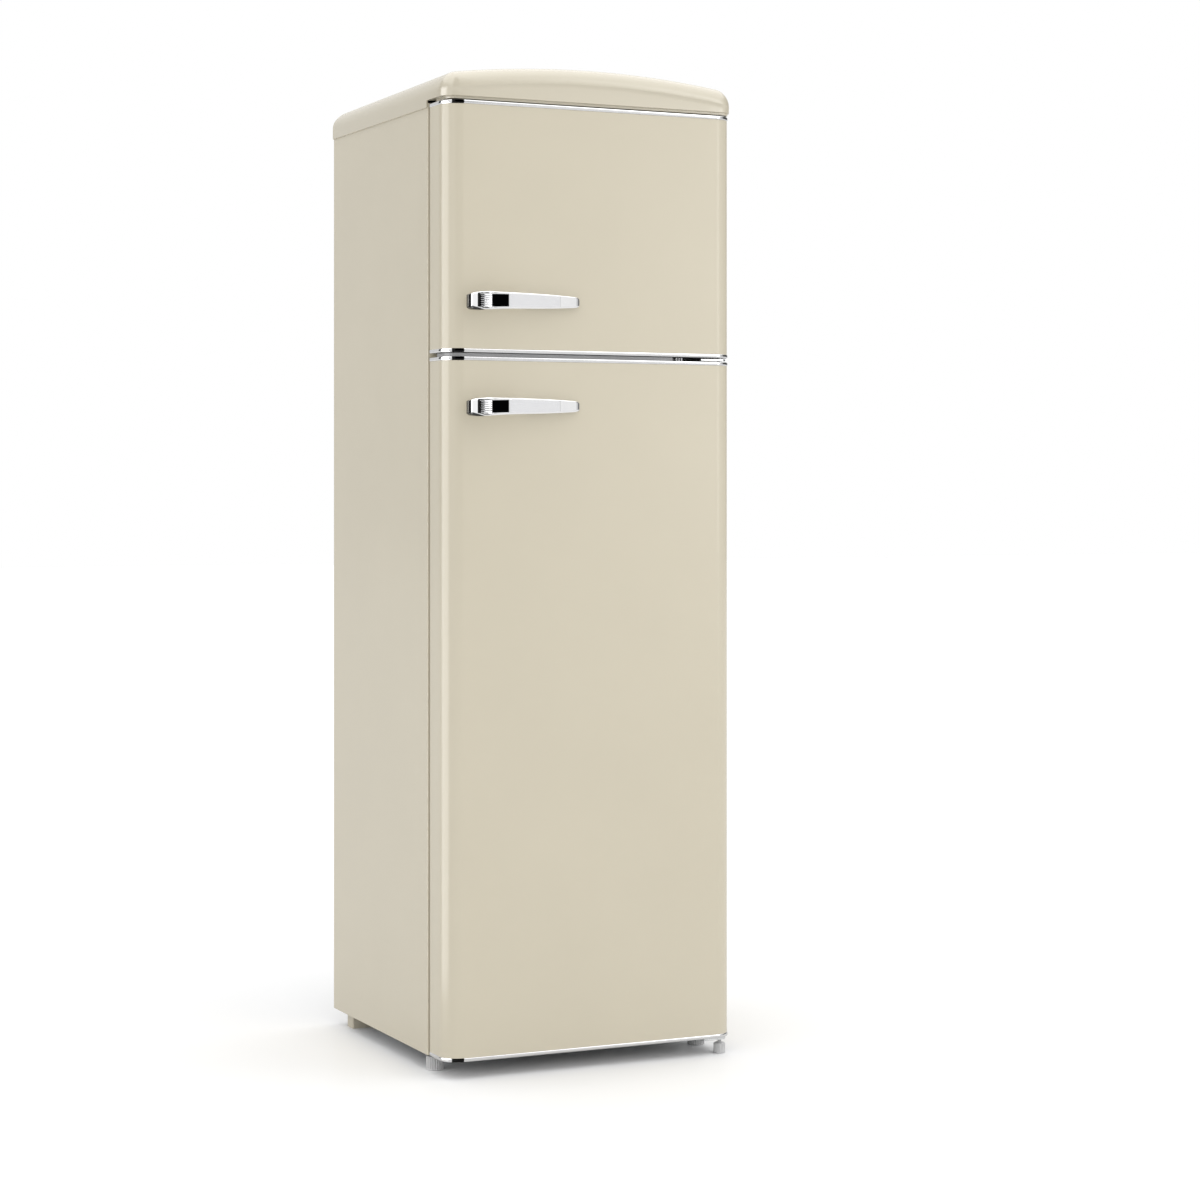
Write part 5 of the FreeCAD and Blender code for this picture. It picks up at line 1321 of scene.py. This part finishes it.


# shell of the housing with an open window and a hole for the knob
hs = Shape()
hx0, hx1 = 199.5, 227.4
o = rrect(-136.0, 112.0, 1088.0, 1176.0, 6.0, 8)
rings = [put3(o, hx1, "x"), put3(o, hx0 + 6.0, "x")]
for i in range(1, 9):
    t = math.radians(90 * i / 8)
    rings.append(put3(offset(o, 5.6 * (1 - math.cos(t))), hx0 + 6.0 * (1 - math.sin(t)), "x"))
rings += [put3(offset(o, 7.6), hx0, "x"), put3(offset(o, 7.6), hx0 + 2.0, "x")]
for i in range(0, 8):
    t = math.radians(90 * (8 - i) / 8)
    rings.append(put3(offset(o, 2.0 + 3.6 * (1 - math.cos(t))), hx0 + 2.0 + 4.0 * (1 - math.sin(t)), "x"))
rings += [put3(offset(o, 2.0), hx0 + 6.0, "x"), put3(offset(o, 2.0), hx1, "x")]
hs.add(loft(rings, closed=True))
# the face plate itself, in strips round the window
py0, py1, pz0, pz1 = -128.2, 104.2, 1095.8, 1168.2
wy0, wy1, wz0, wz1 = 8.0, 92.0, 1102.0, 1162.0
for a, b, c, d in ((wy1, py1, pz0, pz1), (wy0, wy1, pz0, wz0), (wy0, wy1, wz1, pz1)):
    hs.add(prism([(a, c), (b, c), (b, d), (a, d)], hx0, hx0 + 2.0, 0.0, "x"))


def plate_with_hole(y0, y1, z0, z1, cy, cz, r, xa, xb, n=48):
    """A rectangular plate with a round hole: square ring and round ring of equal count."""
    sq, ci = [], []
    for i in range(n):
        a = 2 * math.pi * i / n
        c, s_ = math.cos(a), math.sin(a)
        tx = ((y1 - cy) if c > 0 else (y0 - cy)) / c if abs(c) > 1e-9 else 1e9
        tz = ((z1 - cz) if s_ > 0 else (z0 - cz)) / s_ if abs(s_) > 1e-9 else 1e9
        t = min(tx, tz)
        sq.append((cy + c * t, cz + s_ * t))
        ci.append((cy + r * c, cz + r * s_))
    return loft([put3(sq, xa, "x"), put3(sq, xb, "x"), put3(ci, xb, "x"), put3([(cy + (r + 0.3) * math.cos(2 * math.pi * i / n), cz + (r + 0.3) * math.sin(2 * math.pi * i / n)) for i in range(n)], xa, "x")], closed=True)


hs.add(plate_with_hole(py0, wy0, pz0, pz1, KY, KZ, 5.2, hx0, hx0 + 2.0))
# raised plain tick marks of growing length set on a circle round the knob
for k in range(11):
    a = math.radians(-135 + 27 * k)
    r0, r1 = 24.6, 27.0 + 0.28 * k
    cy_, cz_ = KY + math.sin(a) * (r0 + r1) / 2, KZ + math.cos(a) * (r0 + r1) / 2
    L = (r1 - r0) / 2
    tick = rbox(-0.55, 0.55, -L, L, -0.35, 0.35, 0.25, 2)
    vv = []
    for x, y, z in tick[0]:
        u, w = x, y
        vv.append((hx0 - 0.12 + z * 0.6, cy_ + u * math.cos(a) + w * math.sin(a), cz_ - u * math.sin(a) + w * math.cos(a)))
    hs.add((vv, tick[1]))
piece("control_panel", hs, "cabinet", MATS["white_plastic"], ["control_housing"], smooth=38)


def knob():
    s = Shape()
    n = 20

    def rad(r, t, a):
        if r < 18.5:
            return r
        k = min(1.0, max(0.0, (t + 9.6) / 1.2)) if t < -1 else 1.0
        w = 0.5 + 0.5 * math.cos(n * a)
        return r - 1.5 * (1 - w ** 0.6) * min(1.0, max(0.0, (t + 10.6) / 2.4))
    prof = [(0.01, -13.2), (12.0, -13.25), (17.6, -13.2), (18.6, -12.9), (19.2, -12.3), (19.5, -11.4), (19.7, -10.4), (20.2, -9.6), (20.7, -8.6), (20.95, -7.4), (21.0, -6.0), (21.0, -3.0), (21.0, -0.6), (20.6, -0.1),
            (19.9, 0.0), (8.0, 0.0), (5.0, 0.1), (5.0, 22.0), (4.4, 23.1), (0.01, 23.2)]
    s.add(lathe([(max(r, 0.01), t) for r, t in prof], 20 * 12, (198.8, KY, KZ), "x", rad))
    s.add(rbox(184.9, 186.6, KY - 0.9, KY + 0.9, KZ + 4.5, KZ + 17.0, 0.5, 3))
    return s


piece("thermostat_dial", knob(), "thermostat_knob", MATS["grey_plastic"], ["thermostat_knob"], smooth=50)


def lens():
    o = rrect(4.0, 96.0, 1098.0, 1166.0, 5.0, 6)
    x0, x1 = 189.5, 199.45
    rings = [put3(offset(o, 0.2), x1, "x"), put3(o, x1 - 0.4, "x")]
    for i in range(0, 7):
        t = math.radians(90 * i / 6)
        rings.append(put3(offset(o, 5.0 * (1 - math.cos(t)) * 0.95), x0 + 5.0 * (1 - math.sin(t)), "x"))
    inner = [put3(offset(o, 2.0 + 3.2 * (1 - math.cos(math.radians(90 * (6 - i) / 6)))), x0 + 2.0 + 3.2 * (1 - math.sin(math.radians(90 * (6 - i) / 6))), "x") for i in range(7)]
    rings += inner + [put3(offset(o, 2.0), x1, "x")]
    n = len(o)
    # outer cap and inner cap are left to n-gons: build the shell as outer dish and inner dish joined at the rim
    outer = rings[:9]
    v, f = loft(outer, caps=(False, True))
    k = len(v)
    v2, f2 = loft([rings[-1]] + list(reversed(inner)), caps=(False, True))
    v = list(v) + list(v2)
    f = list(f) + [tuple(i + k for i in q) for q in f2]
    for j in range(n):
        q = (j + 1) % n
        f.append((q, j, k + j, k + q))
    s = Shape().add((v, f))
    for j in range(20):
        y = 11.0 + 4.1 * j
        s.add(rbox(191.0, 192.6, y - 1.0, y + 1.0, 1104.0, 1160.0, 0.7, 3))
    return s


piece("lamp_lens_cover", lens(), "cabinet", MATS["lens_plastic"], ["lamp_lens"], smooth=38)
s = Shape().add(lathe([(0.01, -20.0), (5.0, -19.2), (8.6, -16.6), (10.4, -12.6), (10.8, -8.4), (10.0, -3.4), (8.0, 1.8), (6.6, 5.4), (6.3, 8.0), (6.3, 9.0), (0.01, 9.0)], 40, (208.5, 40.0, 1132.0), "y"))
piece("lamp_bulb", s, "cabinet", MATS["lens_plastic"], smooth=50)
s = Shape().add(lathe([(0.01, 9.2), (6.6, 9.2), (6.6, 10.2)] + [q for i in range(5) for q in ((6.9, 10.6 + 1.6 * i), (6.9, 11.2 + 1.6 * i), (6.4, 11.7 + 1.6 * i), (6.4, 11.9 + 1.6 * i))] + [(8.6, 19.0), (9.0, 19.6), (9.0, 30.0), (8.4, 30.6), (0.01, 30.6)], 40, (208.5, 40.0, 1132.0), "y"))
piece("lamp_socket", s, "cabinet", MATS["white_plastic"], smooth=38)
piece("light_switch_plunger", lathe([(0.01, -146.2), (1.8, -146.1), (3.1, -145.4), (3.8, -144.4), (4.0, -143.2), (4.0, -113.0), (3.4, -112.1), (0.01, -112.0)], 32, (206.5, 0.0, 1150.0), "y"),
      "door_switch_plunger", MATS["white_plastic"], ["door_switch_plunger"], smooth=38)

# ------------------------------------------------------------------ finishes of the CAD nodes that stay
for name, obj in NODES.items():
    if obj.hide_render:
        continue
    mat = MATS.get(SLOT_OF.get(name), MATS["grey_plastic"])
    if len(obj.material_slots) == 0:
        obj.data.materials.append(mat)
    for ms in obj.material_slots:
        ms.material = mat


# ------------------------------------------------------------------ floor, light, camera
def stage_floor():
    me = bpy.data.meshes.new("floor")
    h = 30.0
    me.from_pydata([(-h, -h, 0), (h, -h, 0), (h, h, 0), (-h, h, 0)], [], [(0, 1, 2, 3)])
    o = bpy.data.objects.new("floor", me)
    bpy.context.scene.collection.objects.link(o)
    m = Mat("floor_pale", Specular_IOR_Level=0.0, Roughness=1.0)
    seen = m.node("ShaderNodeMix", data_type="RGBA")
    m.link(m.node("ShaderNodeLightPath").outputs["Is Camera Ray"], seen.inputs[0])
    m.link(m.mixed(m.noise(1.5), [0.71, 0.71, 0.71], [0.73, 0.73, 0.73]), seen.inputs[6])
    m.link(m.mixed(m.noise(1.5), [0.88, 0.88, 0.88], [0.89, 0.89, 0.89]), seen.inputs[7])
    m.link(seen.outputs[2], m.b.inputs["Base Color"])
    shine = m.node("ShaderNodeBsdfGlossy")
    shine.inputs["Roughness"].default_value = 0.09
    shine.inputs["Color"].default_value = (1.0, 1.0, 1.0, 1.0)
    both_ways = m.node("ShaderNodeMixShader")
    both_ways.inputs[0].default_value = 0.045
    m.link(m.b.outputs[0], both_ways.inputs[1])
    m.link(shine.outputs[0], both_ways.inputs[2])
    m.link(both_ways.outputs[0], m.out.inputs[0])
    me.materials.append(m.m)
    return o


stage_floor()

world = bpy.data.worlds.new("studio")
bpy.context.scene.world = world
world.use_nodes = True
nt = world.node_tree
nt.nodes.clear()


def wn(kind, **props):
    n = nt.nodes.new(kind)
    for k, v in props.items():
        setattr(n, k, v)
    return n


def wmath(op, a, b=None, clamp=False):
    n = wn("ShaderNodeMath", operation=op, use_clamp=clamp)
    for i, q in enumerate((a, b)):
        if q is None:
            continue
        if isinstance(q, (int, float)):
            n.inputs[i].default_value = q
        else:
            nt.links.new(q, n.inputs[i])
    return n.outputs[0]


def wramp(value, stops):
    r = wn("ShaderNodeValToRGB")
    e = r.color_ramp.elements
    e[0].position, e[0].color = stops[0][0], (stops[0][1],) * 3 + (1,)
    e[1].position, e[1].color = stops[-1][0], (stops[-1][1],) * 3 + (1,)
    for p, v in stops[1:-1]:
        x = e.new(p)
        x.color = (v, v, v, 1)
    nt.links.new(value, r.inputs[0])
    return r.outputs[0]


coord = wn("ShaderNodeTexCoord").outputs["Generated"]
sep = wn("ShaderNodeSeparateXYZ")
nt.links.new(coord, sep.inputs[0])
wx, wy, wz = sep.outputs
# direction round the object: 0 is straight ahead of the doors, +90 degrees its left side
turn = wmath("DIVIDE", wmath("ARCTAN2", wmath("MULTIPLY", wx, -1.0), wmath("MULTIPLY", wy, -1.0)), 2 * math.pi)
turn = wmath("ADD", turn, 0.5)


def at(deg):
    return deg / 360.0 + 0.5


# what shines on the object from each side: pale walls with soft boxes and dark cloths between them
STRIPS = [(-180, 0.90), (-128, 0.90), (-122, 0.10), (-70, 0.10), (-67, 0.60), (-55, 0.60), (-52, 0.95), (-41, 0.95), (-38, 4.4), (-30, 4.4),
          (-27, 1.05), (-22.5, 0.95), (-20.5, 0.02), (30, 0.02), (33, 1.05), (68, 1.05), (71, 0.5), (128, 0.5), (133, 0.42), (138, 0.16), (148, 0.05),
          (154.2, 0.02), (156.4, 0.80), (180, 0.80)]
strips = wramp(turn, [(at(d), v / 5.0) for d, v in STRIPS])


def scaled(colour, k):
    n = wn("ShaderNodeVectorMath", operation="SCALE")
    nt.links.new(colour, n.inputs[0])
    n.inputs["Scale"].default_value = k
    return n.outputs[0]


def blend(fac, a, b):
    n = wn("ShaderNodeMix", data_type="RGBA")
    nt.links.new(fac, n.inputs[0])
    for i, q in ((6, a), (7, b)):
        if isinstance(q, (int, float)):
            n.inputs[i].default_value = (q, q, q, 1)
        else:
            nt.links.new(q, n.inputs[i])
    return n.outputs[2]


up = wmath("ABSOLUTE", wz)
# walls to 35 degrees, a dim upper room, and a wide soft box overhead
shine_on = blend(wramp(up, [(0.0, 0.0), (0.50, 0.0), (0.66, 1.0), (1.0, 1.0)]), scaled(strips, 5.0), 2.2)
shine_on = blend(wramp(up, [(0.0, 0.0), (0.84, 0.0), (0.92, 1.0), (1.0, 1.0)]), shine_on, 2.6)
# one tall black cloth straight ahead
cloth = wramp(turn, [(0.0, 0.0), (at(-22), 0.0), (at(-20.5), 1.0), (at(30), 1.0), (at(33), 0.0), (1.0, 0.0)])
cloth = wmath("MULTIPLY", cloth, wramp(up, [(0.0, 1.0), (0.95, 1.0), (0.975, 0.0), (1.0, 0.0)]))
shine_on = blend(cloth, shine_on, 0.02)
# soft light that fills the room evenly
height = wramp(wmath("ADD", wmath("MULTIPLY", wz, 0.5), 0.5), [(0.0, 0.80 / 2), (0.5, 0.80 / 2), (0.7, 1.00 / 2), (1.0, 1.56 / 2)])
soft = scaled(height, 2.0)
path = wn("ShaderNodeLightPath")
# the strips are for what the camera sees reflected, deeper bounces meet the even light
first = wmath("MULTIPLY", path.outputs["Is Glossy Ray"], wmath("LESS_THAN", path.outputs["Ray Depth"], 2.5))
mix_d = wn("ShaderNodeMix", data_type="RGBA")
nt.links.new(first, mix_d.inputs[0])
nt.links.new(soft, mix_d.inputs[6])
nt.links.new(shine_on, mix_d.inputs[7])
mix_c = wn("ShaderNodeMix", data_type="RGBA")
nt.links.new(path.outputs["Is Camera Ray"], mix_c.inputs[0])
nt.links.new(mix_d.outputs[2], mix_c.inputs[6])
mix_c.inputs[7].default_value = (1.0, 1.0, 1.0, 1)
bg = wn("ShaderNodeBackground")
nt.links.new(mix_c.outputs[2], bg.inputs[0])
bg.inputs[1].default_value = 1.0
out = wn("ShaderNodeOutputWorld")
nt.links.new(bg.outputs[0], out.inputs[0])


def area(name, loc, target, sx, sy, power, colour=(1, 1, 1), spec=1.0):
    l = bpy.data.lights.new(name, "AREA")
    l.shape, l.size, l.size_y, l.energy, l.color = "RECTANGLE", sx, sy, power, colour
    l.specular_factor = spec
    o = bpy.data.objects.new(name, l)
    o.location = loc
    o.rotation_mode = "QUATERNION"
    o.rotation_quaternion = (Vector(target) - Vector(loc)).to_track_quat("-Z", "Y")
    bpy.context.scene.collection.objects.link(o)
    o.visible_camera = False
    o.visible_glossy = False
    return o


# a tall strip light close to the left, seen only as the long highlight on the door's rounded edge
strip = area("strip_left", (-1.055, -0.115, 0.95), (-0.26, -0.25, 0.95), 0.80, 1.9, 4.0 * math.pi * 0.80 * 1.9)
strip.visible_glossy, strip.visible_diffuse, strip.visible_transmission = True, False, False
area("fill_front", (-1.45, -3.6, 1.2), (-0.05, -0.25, 1.0), 1.6, 1.0, 9.0)
area("softbox_right", (1.55, -1.55, 1.15), (0.1, -0.25, 0.85), 1.1, 1.6, 5.0, spec=0.0)

cam = bpy.data.cameras.new("camera")
cam_o = bpy.data.objects.new("camera", cam)
bpy.context.scene.collection.objects.link(cam_o)
cam_o.location = (-2.02198, -4.60415, 1.0076)
cam_o.rotation_euler = (math.radians(90.0), 0.0, math.radians(-25.1125))
cam.lens, cam.sensor_width = 82.471, 36.0
cam.shift_y = -0.09245
cam.clip_start, cam.clip_end = 0.05, 200.0
bpy.context.scene.camera = cam_o

scene = bpy.context.scene
scene.view_settings.view_transform = "Standard"
scene.view_settings.look = "None"
scene.view_settings.exposure = 0.0
scene.view_settings.gamma = 1.0
